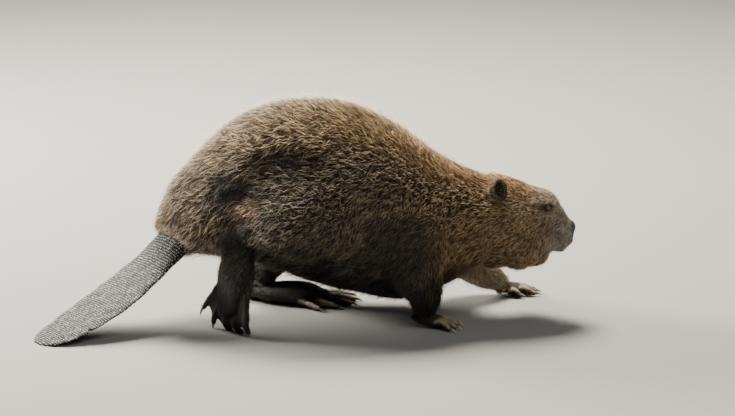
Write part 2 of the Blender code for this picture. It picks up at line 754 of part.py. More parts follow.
def build_paws(parts):
    """The four paws, each cut at its wrist or ankle, with its claws set in."""
    paws = (
        (hand(ARM_RIGHT, WRIST_RIGHT), WRIST_RIGHT),
        (hand(ARM_LEFT, WRIST_LEFT), WRIST_LEFT),
        (hind_foot(FOOT_RIGHT, LEG_RIGHT, ANKLE_RIGHT), ANKLE_RIGHT),
        (hind_foot(FOOT_LEFT, LEG_LEFT, ANKLE_LEFT), ANKLE_LEFT),
    )
    for (paw, claws), (point, normal, _) in paws:
        boolean(paw, beyond("cut", point, -normal, 0.6, GAP / 2), "DIFFERENCE")
        for name, base, heading, length in claws:
            boolean(paw, claw("pocket", base, heading, length, GAP), "DIFFERENCE")
            parts.append(finish(level_on_floor(claw(name, base, heading, length)), "claw"))
        parts.append(finish(paw, "paw_skin"))


def build_flesh(parts):
    """The fused body, with pockets for the eyes, ears and nose, parted into its named pieces."""
    body = fuse("trunk", body_forms(), BODY_VOXEL, BODY_FACES, 4)
    for point, normal, size in (WRIST_RIGHT, WRIST_LEFT, ANKLE_RIGHT, ANKLE_LEFT):
        boolean(body, beyond("cut", point, normal, size, GAP / 2), "DIFFERENCE")
    boolean(body, beyond("cut", tail_point(0), tail_frame(0)[0], 0.17, GAP / 2), "DIFFERENCE")

    parts.append(finish(nose(), "nose_skin"))
    pocket(body, [nose_pad(GAP)])
    for side in ("left", "right"):
        parts.append(finish(eye(side), "eye"))
        parts.append(finish(ear(side), "coat_head"))
        pocket(body, [eye(side, GAP), ear(side, GAP)])

    carve(body, "hock_right", hock_region, "coat", parts)
    for name, oval in OVALS:
        carve(body, name, oval_region(oval), "coat", parts)
    tail_collar = plane_region((-0.216, -0.004, 0.15), (-0.86, -0.22, -0.30), 0.5)
    carve(body, "tail_collar", tail_collar, "coat", parts)
    carve(body, "head", plane_region((0.318, 0, 0.18), (1, 0, -0.10), 0.6), "coat_head", parts)
    part_jaw(parts)
    carve(body, "neck", plane_region((0.262, 0, 0.18), (1, 0, -0.16), 0.6), "coat", parts)
    carve(body, "chest", plane_region((0.120, 0, 0.2), (1, 0, -0.10), 0.8), "coat", parts)
    parts.append(finish(body, "coat"))


def part_jaw(parts):
    """Parts the lower jaw from the head along the line of the mouth."""
    head = next(part for part in parts if part.name == "head")
    jaw = plane_region((0.441, 0, 0.1165), (0.10, 0, -1.0), 0.12)
    carve(head, "lower_jaw", jaw, "coat_head", parts)


def build_tail(parts):
    paddle = tail_paddle()
    boolean(paddle, beyond("cut", tail_point(0), -tail_frame(0)[0], 0.3, GAP / 2), "DIFFERENCE")
    parts.append(finish(paddle, "tail_scales"))


def centre_on_origin(parts):
    """Moves everything so that the origin lies on the floor under the middle of the model."""
    corners = np.array([vertex.co for part in parts for vertex in part.data.vertices])
    low, high = corners.min(0), corners.max(0)
    shift = Vector((-(low[0] + high[0]) / 2, -(low[1] + high[1]) / 2, -low[2]))
    for part in parts:
        part.data.transform(Matrix.Translation(shift))


def main():
    clear_scene()
    parts = []
    build_flesh(parts)
    build_paws(parts)
    build_tail(parts)
    centre_on_origin(parts)


main()
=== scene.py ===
"""A life-size beaver in mid-stride: skin, coat, paws, tail, eyes, nose, ears and whiskers.

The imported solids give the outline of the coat's tips. One skin lies inside them by the coat's
depth, and solid tufts grow from it. Sizes are metres in the animal's own frame, with +X towards
the nose, +Y its left, +Z up and Y = 0 its plane of symmetry; `at` turns them into scene places.
"""

import logging
import math
from collections.abc import Callable, Iterable, Iterator
from contextlib import contextmanager
from dataclasses import dataclass, field
from enum import Enum
from typing import ClassVar

import bpy
import numpy as np
from mathutils import Matrix, Vector
from mathutils.bvhtree import BVHTree
from mathutils.kdtree import KDTree


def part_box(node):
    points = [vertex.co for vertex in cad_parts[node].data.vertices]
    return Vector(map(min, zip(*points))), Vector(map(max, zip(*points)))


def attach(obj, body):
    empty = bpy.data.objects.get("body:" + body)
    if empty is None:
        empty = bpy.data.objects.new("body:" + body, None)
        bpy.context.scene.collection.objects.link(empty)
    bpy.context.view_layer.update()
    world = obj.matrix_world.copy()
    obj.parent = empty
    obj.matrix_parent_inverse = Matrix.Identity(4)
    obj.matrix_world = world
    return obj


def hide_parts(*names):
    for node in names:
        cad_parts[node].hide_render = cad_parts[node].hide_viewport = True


Array = np.ndarray
Piece = bpy.types.Object
Tree = bpy.types.NodeTree
Material = bpy.types.Material
Triple = tuple[float, float, float]

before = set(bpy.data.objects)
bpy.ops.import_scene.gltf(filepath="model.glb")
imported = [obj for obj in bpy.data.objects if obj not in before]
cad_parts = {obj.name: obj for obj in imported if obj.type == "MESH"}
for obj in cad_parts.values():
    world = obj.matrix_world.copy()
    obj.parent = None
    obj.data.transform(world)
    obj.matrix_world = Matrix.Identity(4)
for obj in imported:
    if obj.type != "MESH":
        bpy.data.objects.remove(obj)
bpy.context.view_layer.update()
LOG = logging.getLogger("beaver")

EYE = Vector((0.4335, 0.0385, 0.2085))  # the left eye's centre in the animal's frame
EYE_RADIUS = 0.0066
NOSE_PAD = (0.4745, 0.0, 0.1605)  # the middle of the nose's bare pad
SIDES = {"left": 1, "right": -1}
ROOT = "root"  # the one body of a still model
SEED = 41


def box_middle(node: str) -> Vector:
    """Returns the middle of a solid's box."""
    low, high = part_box(node)
    return (low + high) / 2


ORIGIN = (box_middle("eye_left") + box_middle("eye_right")) / 2 - Vector((EYE.x, 0, EYE.z))


def at(x: float, y: float, z: float) -> Vector:
    """Returns the scene place of a point in the animal's own frame."""
    return ORIGIN + Vector((x, y, z))


class Slot(Enum):
    """The record's material slots, one named for each of the scene's pieces."""

    COAT = "coat"
    HEAD = "coat_head"
    CLAW = "claw"
    TAIL = "tail_scales"
    NOSE = "nose_skin"
    EYE = "eye"


# ---------------- mesh tools
def deselect_all() -> None:
    """Leaves nothing selected."""
    for obj in bpy.context.selected_objects:
        obj.select_set(False)


def focus(obj: Piece) -> Piece:
    """Selects one object alone and makes it the active one."""
    deselect_all()
    obj.select_set(True)
    bpy.context.view_layer.objects.active = obj
    return obj


@contextmanager
def editing(obj: Piece, selected: Array | None = None) -> Iterator[None]:
    """Opens an object in edit mode, with the marked faces selected, or all of it.

    Args:
        obj: The mesh object.
        selected: One flag for each face, or None for all.
    """
    focus(obj)
    marks = np.ones(len(obj.data.polygons), bool) if selected is None else selected
    obj.data.vertices.foreach_set("select", np.zeros(len(obj.data.vertices), bool))
    obj.data.edges.foreach_set("select", np.zeros(len(obj.data.edges), bool))
    obj.data.polygons.foreach_set("select", marks)
    bpy.ops.object.mode_set(mode="EDIT")
    bpy.ops.mesh.select_mode(type="FACE")
    yield
    bpy.ops.object.mode_set(mode="OBJECT")


def apply_modifier(obj: Piece, kind: str, **settings) -> None:
    """Adds a modifier with these settings and applies it.

    Args:
        obj: The object.
        kind: The modifier's type.
        settings: Its options.
    """
    focus(obj)
    modifier = obj.modifiers.new(kind.title(), kind)
    for name, value in settings.items():
        setattr(modifier, name, value)
    bpy.ops.object.modifier_apply(modifier=modifier.name)


def read(
    elements: bpy.types.bpy_prop_collection, key: str, width: int, kind: type = np.float32
) -> Array:
    """Reads one property of all the elements of a mesh.

    Args:
        elements: The mesh's vertices, edges, faces or other elements.
        key: The property's name.
        width: How many numbers it has.
        kind: The type of these numbers.

    Returns:
        One row for each element.
    """
    flat = np.empty(len(elements) * width, kind)
    elements.foreach_get(key, flat)
    return flat.reshape(-1, width)


def read_points(obj: Piece) -> Array:
    """Returns the vertices' places, one row each."""
    return read(obj.data.vertices, "co", 3).astype(float)


def write_points(obj: Piece, points: Array) -> None:
    """Moves the vertices to these places."""
    obj.data.vertices.foreach_set("co", points.astype(np.float32).ravel())
    obj.data.update()


def read_normals(obj: Piece) -> Array:
    """Returns the vertices' outward normals."""
    return read(obj.data.vertex_normals, "vector", 3).astype(float)


def read_edges(obj: Piece) -> Array:
    """Returns the two ends of each edge."""
    return read(obj.data.edges, "vertices", 2, np.int32)


def keep_above(points: Array, least: float = 0.0) -> Array:
    """Raises the points that are lower than this over the floor, and returns them all."""
    points[:, 2] = np.maximum(points[:, 2], least)
    return points


def lengths(rows: Array) -> Array:
    """Returns the rows' lengths."""
    return np.linalg.norm(rows, axis=1)


def unit(rows: Array) -> Array:
    """Returns the rows with length one."""
    return rows / np.maximum(np.linalg.norm(rows, axis=1, keepdims=True), 1e-9)


def spread(values: Array, edges: Array, rounds: int, share: float = 0.5) -> Array:
    """Evens out values over a mesh.

    Args:
        values: One number, or one row of numbers, for each vertex.
        edges: The two ends of each edge.
        rounds: How often each value moves towards its neighbours' mean.
        share: How far it moves each time; below zero it moves away.

    Returns:
        The new values.
    """
    if values.ndim == 1:
        return spread(values[:, None], edges, rounds, share)[:, 0]
    count = len(values)
    a, b = edges[:, 0], edges[:, 1]
    degree = np.maximum(np.bincount(a, minlength=count) + np.bincount(b, minlength=count), 1)
    values = values.astype(float)
    for _ in range(rounds):
        means = np.empty_like(values)
        for k in range(values.shape[1]):
            column = values[:, k]
            total = np.bincount(a, column[b], count) + np.bincount(b, column[a], count)
            means[:, k] = total / degree
        values = values + share * (means - values)
    return values


IRON_STEPS = (0.6, -0.62)  # each round smooths, and then swells the form back


def iron(obj: Piece, rounds: int) -> None:
    """Smooths facets away without shrinking the form.

    Args:
        obj: The mesh object.
        rounds: How often it is smoothed.
    """
    points, edges = read_points(obj), read_edges(obj)
    for share in IRON_STEPS * rounds:
        points = spread(points, edges, 1, share)
    write_points(obj, points)


def make_object(name: str, points: Array, faces: Array) -> Piece:
    """Builds a mesh object from arrays.

    Args:
        name: The object's name.
        points: The vertices' places.
        faces: Rows of vertex numbers, all of one length.

    Returns:
        The new object, in the scene.
    """
    mesh = bpy.data.meshes.new(name)
    mesh.vertices.add(len(points))
    mesh.vertices.foreach_set("co", np.asarray(points, np.float32).ravel())
    mesh.loops.add(faces.size)
    mesh.loops.foreach_set("vertex_index", faces.astype(np.int32).ravel())
    mesh.polygons.add(len(faces))
    corners = faces.shape[1]
    mesh.polygons.foreach_set("loop_start", np.arange(0, faces.size, corners, dtype=np.int32))
    mesh.update(calc_edges=True)
    obj = bpy.data.objects.new(name, mesh)
    bpy.context.scene.collection.objects.link(obj)
    return obj


def join(name: str, objects: list[Piece]) -> Piece:
    """Joins objects into one that keeps their shells.

    Args:
        name: The new object's name.
        objects: The objects, which are used up.

    Returns:
        The joined object.
    """
    focus(objects[0])
    for obj in objects:
        obj.select_set(True)
    bpy.ops.object.join()
    made = bpy.context.view_layer.objects.active
    made.name = name
    return made


def store(obj: Piece, name: str, values: Array) -> None:
    """Keeps one number or one vector for each vertex as an attribute."""
    kind, key = ("FLOAT", "value") if values.ndim == 1 else ("FLOAT_VECTOR", "vector")
    attribute = obj.data.attributes.new(name, kind, "POINT")
    attribute.data.foreach_set(key, values.astype(np.float32).ravel())


def new_primitive(operator: Callable, name: str, **sizes) -> Piece:
    """Adds a primitive to be shaped.

    Args:
        operator: The operator of bpy.ops.mesh that adds it.
        name: The object's name.
        sizes: The operator's options.

    Returns:
        The new object, the only one selected.
    """
    deselect_all()
    operator(**sizes)
    obj = bpy.context.view_layer.objects.active
    obj.name = name
    return obj


def new_sphere(name: str, segments: int, rings: int) -> tuple[Piece, Array]:
    """Adds a unit sphere to be shaped, and returns it with its vertices' places."""
    add = bpy.ops.mesh.primitive_uv_sphere_add
    obj = new_primitive(add, name, segments=segments, ring_count=rings, radius=1.0)
    return obj, read_points(obj)


def polar(ball: Array) -> tuple[Array, Array]:
    """Returns how far down a unit sphere points lie, from 0 to 1, and their angles round it."""
    return np.arccos(np.clip(ball[:, 2], -1, 1)) / math.pi, np.arctan2(ball[:, 1], ball[:, 0])


def plant(places: Iterable, numbers: Iterable[int]) -> KDTree:
    """Returns a search tree of numbered places.

    Args:
        places: The places.
        numbers: Their numbers.

    Returns:
        The tree, ready to be searched.
    """
    found = list(zip(places, numbers))
    tree = KDTree(len(found))
    for place, number in found:
        tree.insert(place, number)
    tree.balance()
    return tree


def curve_through(values: Array, steps: Array) -> Array:
    """Returns the places at steps from 0 to 1 along a Catmull-Rom curve through the values.

    Args:
        values: The values, one row for each.
        steps: Where along the curve, from 0 to 1.

    Returns:
        One row for each step.
    """
    known = np.asarray(values, float)
    padded = np.vstack([2 * known[0] - known[1], known, 2 * known[-1] - known[-2]])
    reach = np.clip(steps, 0, 1) * (len(known) - 1)
    start = np.minimum(reach.astype(int), len(known) - 2)
    t = (reach - start)[:, None]
    a, b, c, d = (padded[start + k] for k in range(4))
    return 0.5 * (
        2 * b + (c - a) * t + (2 * a - 5 * b + 4 * c - d) * t**2 + (3 * b - a - 3 * c + d) * t**3
    )


CAP = 0.12  # the share of a swept form's rings that close each of its ends
CAP_REACH = 0.8  # how far such an end reaches past the path, as a share of its radius
STEP = 0.02  # the half step along a path over which its direction is measured


def sweep(
    name: str,
    path: list[Vector],
    radii: list[float],
    across: Vector,
    flatten: float = 1.0,
    segments: int = 20,
    rings: int = 26,
) -> Piece:
    """Shapes a sphere into a form with round ends that follows a path.

    Args:
        name: The object's name.
        path: The middle line's points.
        radii: The half width at each point.
        across: The direction in which the form is widest.
        flatten: Its thickness over its width.
        segments: Corners round the form.
        rings: Rings along it.

    Returns:
        The closed form.
    """
    obj, ball = new_sphere(name, segments, rings)
    share, angle = polar(ball)
    steps = np.clip((share - CAP) / (1 - 2 * CAP), 0, 1)
    rows = curve_through([(*p, r) for p, r in zip(path, radii)], steps)
    before, after = np.maximum(steps - STEP, 0), np.minimum(steps + STEP, 1)
    ahead = unit(curve_through(path, after) - curve_through(path, before))
    up = unit(np.cross(ahead, np.array(across)))
    side = np.cross(up, ahead)
    closing = np.clip(np.minimum(share, 1 - share) / CAP, 0, 1) * math.pi / 2
    overrun = np.cos(closing) * np.where(share < 0.5, -1, 1) * CAP_REACH
    ring = side * np.cos(angle)[:, None] + up * (np.sin(angle) * flatten)[:, None]
    radius = rows[:, 3:4]
    points = rows[:, :3] + radius * (ring * np.sin(closing)[:, None] + ahead * overrun[:, None])
    write_points(obj, points)
    return face_outwards(obj)


def face_outwards(obj: Piece) -> Piece:
    """Turns a closed form's faces outwards."""
    with editing(obj):
        bpy.ops.mesh.normals_make_consistent(inside=False)
    return obj


def fuse(name: str, forms: list[Piece], voxel: float, rounds: int) -> Piece:
    """Grows overlapping forms into one skin.

    Args:
        name: The skin's name.
        forms: The forms, which are used up.
        voxel: The size of its faces.
        rounds: How often it is smoothed.

    Returns:
        The skin.
    """
    obj = join(name, forms)
    apply_modifier(obj, "REMESH", mode="VOXEL", voxel_size=voxel)
    iron(obj, rounds)
    return obj


def weld(obj: Piece, other: Piece) -> None:
    """Unites obj with another closed form, which is used up."""
    apply_modifier(obj, "BOOLEAN", operation="UNION", solver="MANIFOLD", object=other)
    bpy.data.objects.remove(other, do_unlink=True)


def bell(away: Array, reach: float) -> Array:
    """Returns 1 at no distance, falling smoothly to 0 well beyond the reach."""
    return np.exp(-((away / reach) ** 2))


def closeness(points: Array, place: Vector, reach: float | tuple) -> Array:
    """Returns 1 at a place, falling smoothly to 0 well beyond its reach."""
    return np.exp(-0.5 * (((points - np.array(place)) / np.array(reach)) ** 2).sum(1))


def finish_piece(obj: Piece, slot: Slot, material: Material, *nodes: str) -> Piece:
    """Dresses a finished piece and enters it in the frame.

    Args:
        obj: The piece.
        slot: The record's slot of its finish; not used.
        material: The finish itself.
        nodes: The solids that it stands for.

    Returns:
        The same piece.
    """
    obj.data.materials.clear()
    obj.data.materials.append(material)
    obj.data.shade_smooth()
    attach(obj, ROOT)
    if nodes:
        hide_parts(*nodes)
    LOG.info("%s: %d faces", obj.name, len(obj.data.polygons))
    return obj


# ---------------- shading tools
Socket = bpy.types.NodeSocket
Number = Socket | float
Colour = tuple[int, int, int]  # a display colour, each channel 0 to 255
Tint = Socket | Colour


def linear(colour: Tint) -> tuple[float, float, float, float] | Socket:
    """Makes a display colour scene-linear.

    Args:
        colour: The colour, or a socket, which is left as it is.

    Returns:
        Red, green, blue and alpha, or the socket.
    """
    if isinstance(colour, Socket):
        return colour
    shares = [channel / 255 for channel in colour]
    return (*[s / 12.92 if s < 0.04045 else ((s + 0.055) / 1.055) ** 2.4 for s in shares], 1.0)


class Graph:
    """A node tree that is wired by short calls."""

    def __init__(self, tree: Tree) -> None:
        """Starts on a node tree."""
        self.tree = tree

    def add(self, kind: str, inputs: dict | None = None, **settings) -> bpy.types.Node:
        """Adds a node.

        Args:
            kind: The node's type, such as "ShaderNodeMath".
            inputs: Sockets or values, by the input's name or number.
            settings: The node's own options.

        Returns:
            The node.
        """
        node = self.tree.nodes.new(kind)
        for name, value in settings.items():
            setattr(node, name, value)
        for name, value in (inputs or {}).items():
            if isinstance(value, Socket):
                self.tree.links.new(value, node.inputs[name])
            else:
                node.inputs[name].default_value = value
        return node

    def math(self, operation: str, a: Number, b: Number = 0.0) -> Socket:
        """Returns what an operation makes of two numbers."""
        return self.add("ShaderNodeMath", {0: a, 1: b}, operation=operation).outputs[0]

    def plus(self, a: Number, b: Number) -> Socket:
        """Returns a sum."""
        return self.math("ADD", a, b)

    def minus(self, a: Number, b: Number) -> Socket:
        """Returns a difference."""
        return self.math("SUBTRACT", a, b)

    def times(self, a: Number, b: Number) -> Socket:
        """Returns a product."""
        return self.math("MULTIPLY", a, b)

    def swing(self, cloud: Socket, size: float) -> Socket:
        """Returns a cloudy number that swings round zero, from one that swings round a half."""
        return self.times(self.minus(cloud, 0.5), size)

    def vector(self, operation: str, a: Socket, b: Socket | tuple = (0.0, 0.0, 0.0)) -> Socket:
        """Returns a sum, quotient, length or other result of vectors."""
        node = self.add("ShaderNodeVectorMath", {0: a, 1: b}, operation=operation)
        return node.outputs["Value" if operation == "LENGTH" else "Vector"]

    def mix(self, share: Number, a: Tint, b: Tint, how: str = "MIX") -> Socket:
        """Returns a mix of two colours."""
        inputs = {0: share, 6: linear(a), 7: linear(b)}
        return self.add("ShaderNodeMix", inputs, data_type="RGBA", blend_type=how).outputs[2]

    def ramp(self, value: Socket, stops: list[tuple[float, Colour]]) -> Socket:
        """Returns the colour that a number picks.

        Args:
            value: The number.
            stops: Numbers and their colours, in order.

        Returns:
            The colour.
        """
        node = self.add("ShaderNodeValToRGB", {0: value})
        elements = node.color_ramp.elements
        while len(elements) < len(stops):
            elements.new(0.5)
        for element, (position, colour) in zip(elements, stops):
            element.position, element.color = position, linear(colour)
        return node.outputs[0]

    def step(self, value: Socket, low: float, high: float, smooth: bool = True) -> Socket:
        """Returns a number's way between two limits.

        Args:
            value: The number.
            low: Where the result is 0.
            high: Where it is 1; it may be the lesser of the two.
            smooth: Whether it sets off and arrives gently.

        Returns:
            The result, between 0 and 1.
        """
        kind = "SMOOTHSTEP" if smooth else "LINEAR"
        inputs = {"Value": value, "From Min": min(low, high), "From Max": max(low, high)}
        if low > high:
            inputs |= {"To Min": 1.0, "To Max": 0.0}
        return self.add("ShaderNodeMapRange", inputs, interpolation_type=kind).outputs[0]

    def noise(
        self, place: Socket, scale: Number, detail: float = 2.0, rough: float = 0.5
    ) -> Socket:
        """Returns a cloudy number of about 0.5."""
        inputs = {"Vector": place, "Scale": scale, "Detail": detail, "Roughness": rough}
        return self.add("ShaderNodeTexNoise", inputs).outputs[0]

    def attribute(self, name: str, vector: bool = False) -> Socket:
        """Returns a number or vector kept on the mesh."""
        node = self.add("ShaderNodeAttribute", attribute_name=name)
        return node.outputs[1 if vector else 2]

    def place(self) -> Socket:
        """Returns the point's place on the object."""
        return self.add("ShaderNodeTexCoord").outputs["Object"]

    def group(self, made: Tree, **inputs: Number) -> bpy.types.NodeOutputs:
        """Places a shared group with its own values, and returns its outputs."""
        return self.add("ShaderNodeGroup", inputs, node_tree=made).outputs

    def bump(self, height: Socket, strength: float, distance: float) -> Socket:
        """Returns a normal that follows a height."""
        inputs = {"Strength": strength, "Distance": distance, "Height": height}
        return self.add("ShaderNodeBump", inputs).outputs[0]


def new_group(
    name: str, inputs: dict[str, str], outputs: dict[str, str]
) -> tuple[Graph, bpy.types.Node]:
    """Starts a shader group.

    Args:
        name: The group's name.
        inputs: The kind of each input socket, by name.
        outputs: The kind of each output socket, by name.

    Returns:
        The graph to wire, and its group input node.
    """
    tree = bpy.data.node_groups.new(name, "ShaderNodeTree")
    for way, sockets in (("INPUT", inputs), ("OUTPUT", outputs)):
        for label, kind in sockets.items():
            tree.interface.new_socket(label, in_out=way, socket_type=f"NodeSocket{kind}")
    graph = Graph(tree)
    return graph, graph.add("NodeGroupInput")


def close_group(graph: Graph, results: dict[str, Socket]) -> Tree:
    """Wires a group's outputs and returns its tree."""
    graph.add("NodeGroupOutput", results)
    return graph.tree


class Finish:
    """A finish: constants on the shader's own sockets, and wired nodes for the rest.

    The keys of both are the sockets' names, with _ for a space.
    """

    name: ClassVar[str]
    constants: ClassVar[dict[str, float]] = {}

    def wire(self, graph: Graph) -> dict[str, Socket]:
        """Adds the nodes, and returns what each of the shader's sockets is fed."""
        raise NotImplementedError

    def build(self) -> Material:
        """Makes the material.

        Returns:
            The material.
        """
        material = bpy.data.materials.new(self.name)
        material.use_nodes = True
        shader = material.node_tree.nodes["Principled BSDF"]
        labels = {key.replace(" ", "_").lower(): key for key in shader.inputs.keys()}
        for key, value in self.constants.items():
            shader.inputs[labels[key]].default_value = value
        for key, socket in self.wire(Graph(material.node_tree)).items():
            material.node_tree.links.new(socket, shader.inputs[labels[key]])
        return material


RUMP_TO_NOSE = (-0.27, 0.486)  # the coat's two ends along X
BODY_AXIS = 0.19  # the height round which the coat turns from flank to back


@dataclass(frozen=True)
class Spot:
    """A patch of the coat with colours of its own, on both flanks alike; several patches are
    painted shade and one is painted light.
    """

    place: Triple
    reach: Triple
    tips: Colour
    roots: Colour
    share: float = 1.0


@dataclass(frozen=True)
class Markings:
    """The coat's colours along and round the body, and the patches that differ."""

    # the rump end's palest tips and roots are partly painted rim light, and the back's paler tips
    # and roots partly painted light from above
    # share of the way from rump to nose; tips on the back; tips on the flank; roots
    rows: tuple[tuple[float, Colour, Colour, Colour], ...] = (
        (0.0, (246, 234, 210), (240, 224, 194), (120, 90, 58)),
        (0.06, (242, 224, 192), (222, 200, 166), (78, 55, 33)),
        (0.14, (234, 212, 174), (190, 169, 136), (37, 25, 15)),
        (0.32, (228, 200, 154), (188, 171, 142), (21, 15, 9)),
        (0.5, (232, 198, 142), (200, 180, 148), (18, 13, 8)),
        (0.64, (236, 194, 132), (220, 190, 144), (25, 17, 10)),
        (0.78, (248, 198, 128), (255, 216, 158), (58, 35, 17)),
        (0.89, (252, 202, 138), (255, 228, 178), (82, 53, 29)),
        (0.965, (236, 222, 198), (252, 242, 222), (92, 77, 58)),
        (1.0, (206, 198, 186), (206, 198, 186), (88, 79, 68)),
    )
    back_roots: Colour = (92, 66, 41)
    spots: tuple[Spot, ...] = (
        # belly: near-black, painted shade
        Spot((0.08, 0.06, 0.045), (0.27, 0.2, 0.088), (40, 35, 27), (8, 7, 5)),
        # armpit and the recessed flank behind it: painted shade
        Spot((0.165, 0.13, 0.15), (0.07, 0.1, 0.065), (84, 74, 58), (12, 10, 8), 0.8),
        # painted shade in the folds behind and above the haunch
        Spot((-0.112, 0.12, 0.255), (0.05, 0.1, 0.036), (70, 60, 47), (8, 6, 4), 0.9),
        Spot((-0.03, 0.14, 0.306), (0.08, 0.1, 0.024), (82, 71, 56), (9, 7, 5), 0.85),
        # haunch, and its shaded lower edge
        Spot((-0.005, 0.14, 0.195), (0.09, 0.08, 0.05), (162, 150, 126), (13, 10, 7), 0.65),
        Spot((-0.01, 0.14, 0.146), (0.085, 0.08, 0.026), (96, 88, 68), (9, 8, 5), 0.9),
        # pale tuft over the heel, and the dark hock below it
        Spot((-0.098, 0.135, 0.226), (0.028, 0.05, 0.015), (240, 214, 180), (124, 98, 72)),
        Spot((-0.112, 0.12, 0.145), (0.042, 0.06, 0.07), (66, 60, 47), (11, 9, 6), 0.95),
        # ear, eye and lip, and painted light on the forearm
        Spot((0.345, 0.065, 0.24), (0.022, 0.03, 0.022), (196, 166, 130), (34, 25, 18), 0.8),
        Spot((0.43, 0.045, 0.209), (0.014, 0.03, 0.01), (96, 78, 58), (20, 16, 12), 0.9),
        Spot((0.467, 0.02, 0.14), (0.032, 0.05, 0.032), (252, 246, 230), (92, 82, 66), 0.85),
        Spot((0.33, 0.11, 0.05), (0.07, 0.04, 0.04), (250, 238, 214), (150, 132, 106), 0.9),
    )

    def build(self) -> Tree:
        """Wires the group that turns a place on the body into tip and root colours.

        Returns:
            The group, whose Patch output makes the coat a little paler and darker in patches.
        """
        results = {"Tips": "Color", "Roots": "Color", "Patch": "Float"}
        graph, given = new_group("CoatMarkings", {"Place": "Vector"}, results)
        local = graph.vector("SUBTRACT", given.outputs["Place"], tuple(ORIGIN))
        apart = graph.add("ShaderNodeSeparateXYZ", {0: local})
        x, z = apart.outputs[0], apart.outputs[2]
        y = graph.math("ABSOLUTE", apart.outputs[1])
        folded = graph.add("ShaderNodeCombineXYZ", {0: x, 1: y, 2: z}).outputs[0]
        wander = graph.swing(graph.noise(local, 9.0), 0.12)
        along = graph.plus(graph.step(x, *RUMP_TO_NOSE, smooth=False), wander)
        over = graph.minus(z, BODY_AXIS)
        outwards = graph.add("ShaderNodeCombineXYZ", {1: y, 2: over}).outputs[0]
        slant = graph.math("DIVIDE", over, graph.vector("LENGTH", outwards))
        # the back, the body's top: its paler tips and roots are partly painted light from above
        back = graph.step(graph.plus(slant, wander), 0.66, 0.99)
        ramps = [graph.ramp(along, [(row[0], row[k]) for row in self.rows]) for k in (1, 2, 3)]
        tips = graph.mix(back, ramps[1], ramps[0])
        roots = graph.mix(graph.times(back, 0.8), ramps[2], self.back_roots)
        fray = graph.swing(graph.noise(local, 26.0), 0.7)
        for spot in self.spots:
            away = graph.vector("DIVIDE", graph.vector("SUBTRACT", folded, spot.place), spot.reach)
            near = graph.step(graph.plus(graph.vector("LENGTH", away), fray), 1.35, 0.55)
            near = graph.times(near, spot.share)
            tips = graph.mix(near, tips, spot.tips)
            roots = graph.mix(near, roots, spot.roots)
        patch = graph.step(graph.noise(local, 34.0, 3.0), 0.34, 0.66)
        return close_group(graph, {"Tips": tips, "Roots": roots, "Patch": patch})


def grain_group() -> Tree:
    """Wires the group that makes leathery creases.

    Returns:
        The group, which gives a height and a mask of its low parts.
    """
    inputs, results = {"Place": "Vector", "Scale": "Float"}, {"Height": "Float", "Low": "Float"}
    graph, given = new_group("LeatherGrain", inputs, results)
    place, scale = given.outputs["Place"], given.outputs["Scale"]
    inputs = {"Vector": place, "Scale": scale}
    cells = graph.add("ShaderNodeTexVoronoi", inputs, feature="DISTANCE_TO_EDGE")
    plates = graph.step(cells.outputs["Distance"], 0.0, 0.22)
    cloud = graph.noise(place, scale, 4.0)
    height = graph.plus(graph.times(plates, 0.7), graph.times(cloud, 0.5))
    return close_group(graph, {"Height": height, "Low": graph.minus(1.0, plates)})


@dataclass(frozen=True)
class FurFinish(Finish):
    """The tufts: markings, dark roots, pale tips on the guard hairs and dark wool below them."""

    markings: Tree
    rooted: tuple[float, float] = (0.1, 0.62)  # where along a tuft its root's colour gives way
    tones: tuple[float, float] = (0.28, 0.9)  # the tones between which a tuft's tip turns pale
    name = "fur"
    constants = {
        "roughness": 0.55, "specular_ior_level": 0.25, "sheen_weight": 0.1, "sheen_roughness": 0.4,
    }

    def wire(self, graph: Graph) -> dict[str, Socket]:
        """Colours each tuft by the place of its root, its tone and the way along it."""
        marked = graph.group(self.markings, Place=graph.attribute("root_place", vector=True))
        tone = graph.attribute("tone")
        along = graph.step(graph.attribute("along"), *self.rooted)
        share = graph.times(along, graph.step(tone, *self.tones, smooth=False))
        colour = graph.mix(share, marked["Roots"], marked["Tips"])
        shade = graph.plus(0.72, graph.times(marked["Patch"], 0.34))
        return {"base_color": graph.mix(1.0, colour, shade, how="MULTIPLY")}


@dataclass(frozen=True)
class SkinFinish(Finish):
    """The skin: woolly underfur under the coat, and bare leather where no hair grows."""

    markings: Tree
    grain: Tree
    paw: Colour = (74, 64, 52)
    paw_low: Colour = (24, 20, 16)
    # worn toe ridges: paler with wear, and with painted highlight where they face up
    worn: Colour = (170, 155, 133)
    # near-black: the lids' and ear cups' dark skin, and on the raised foot its dark leather with
    # painted shade
    dark: Colour = (15, 12, 9)
    name = "skin"
    constants = {"roughness": 0.68, "specular_ior_level": 0.2}

    def wire(self, graph: Graph) -> dict[str, Socket]:
        """Mixes underfur and leather by the skin's masks."""
        place = graph.place()
        marked = graph.group(self.markings, Place=place)
        wool = graph.noise(place, 420.0, 3.0, 0.7)
        strands = graph.step(wool, 0.42, 0.7)
        underfur = graph.mix(graph.times(strands, 0.45), marked["Roots"], marked["Tips"])
        leather = graph.group(self.grain, Place=place, Scale=380.0)
        bare = graph.mix(graph.noise(place, 60.0, 3.0), self.paw_low, self.paw)
        bare = graph.mix(graph.times(leather["Low"], 0.8), bare, self.paw_low)
        # the toe ridges' wear and painted highlight
        bare = graph.mix(graph.attribute("pale"), bare, self.worn)
        # dark skin, and on the raised foot painted shade
        bare = graph.mix(graph.attribute("dark"), bare, self.dark)
        colour = graph.mix(graph.attribute("bare"), underfur, bare)
        creases = graph.times(leather["Height"], graph.attribute("bare"))
        height = graph.plus(creases, graph.times(wool, 0.6))
        return {"base_color": colour, "normal": graph.bump(height, 0.9, 0.0011)}


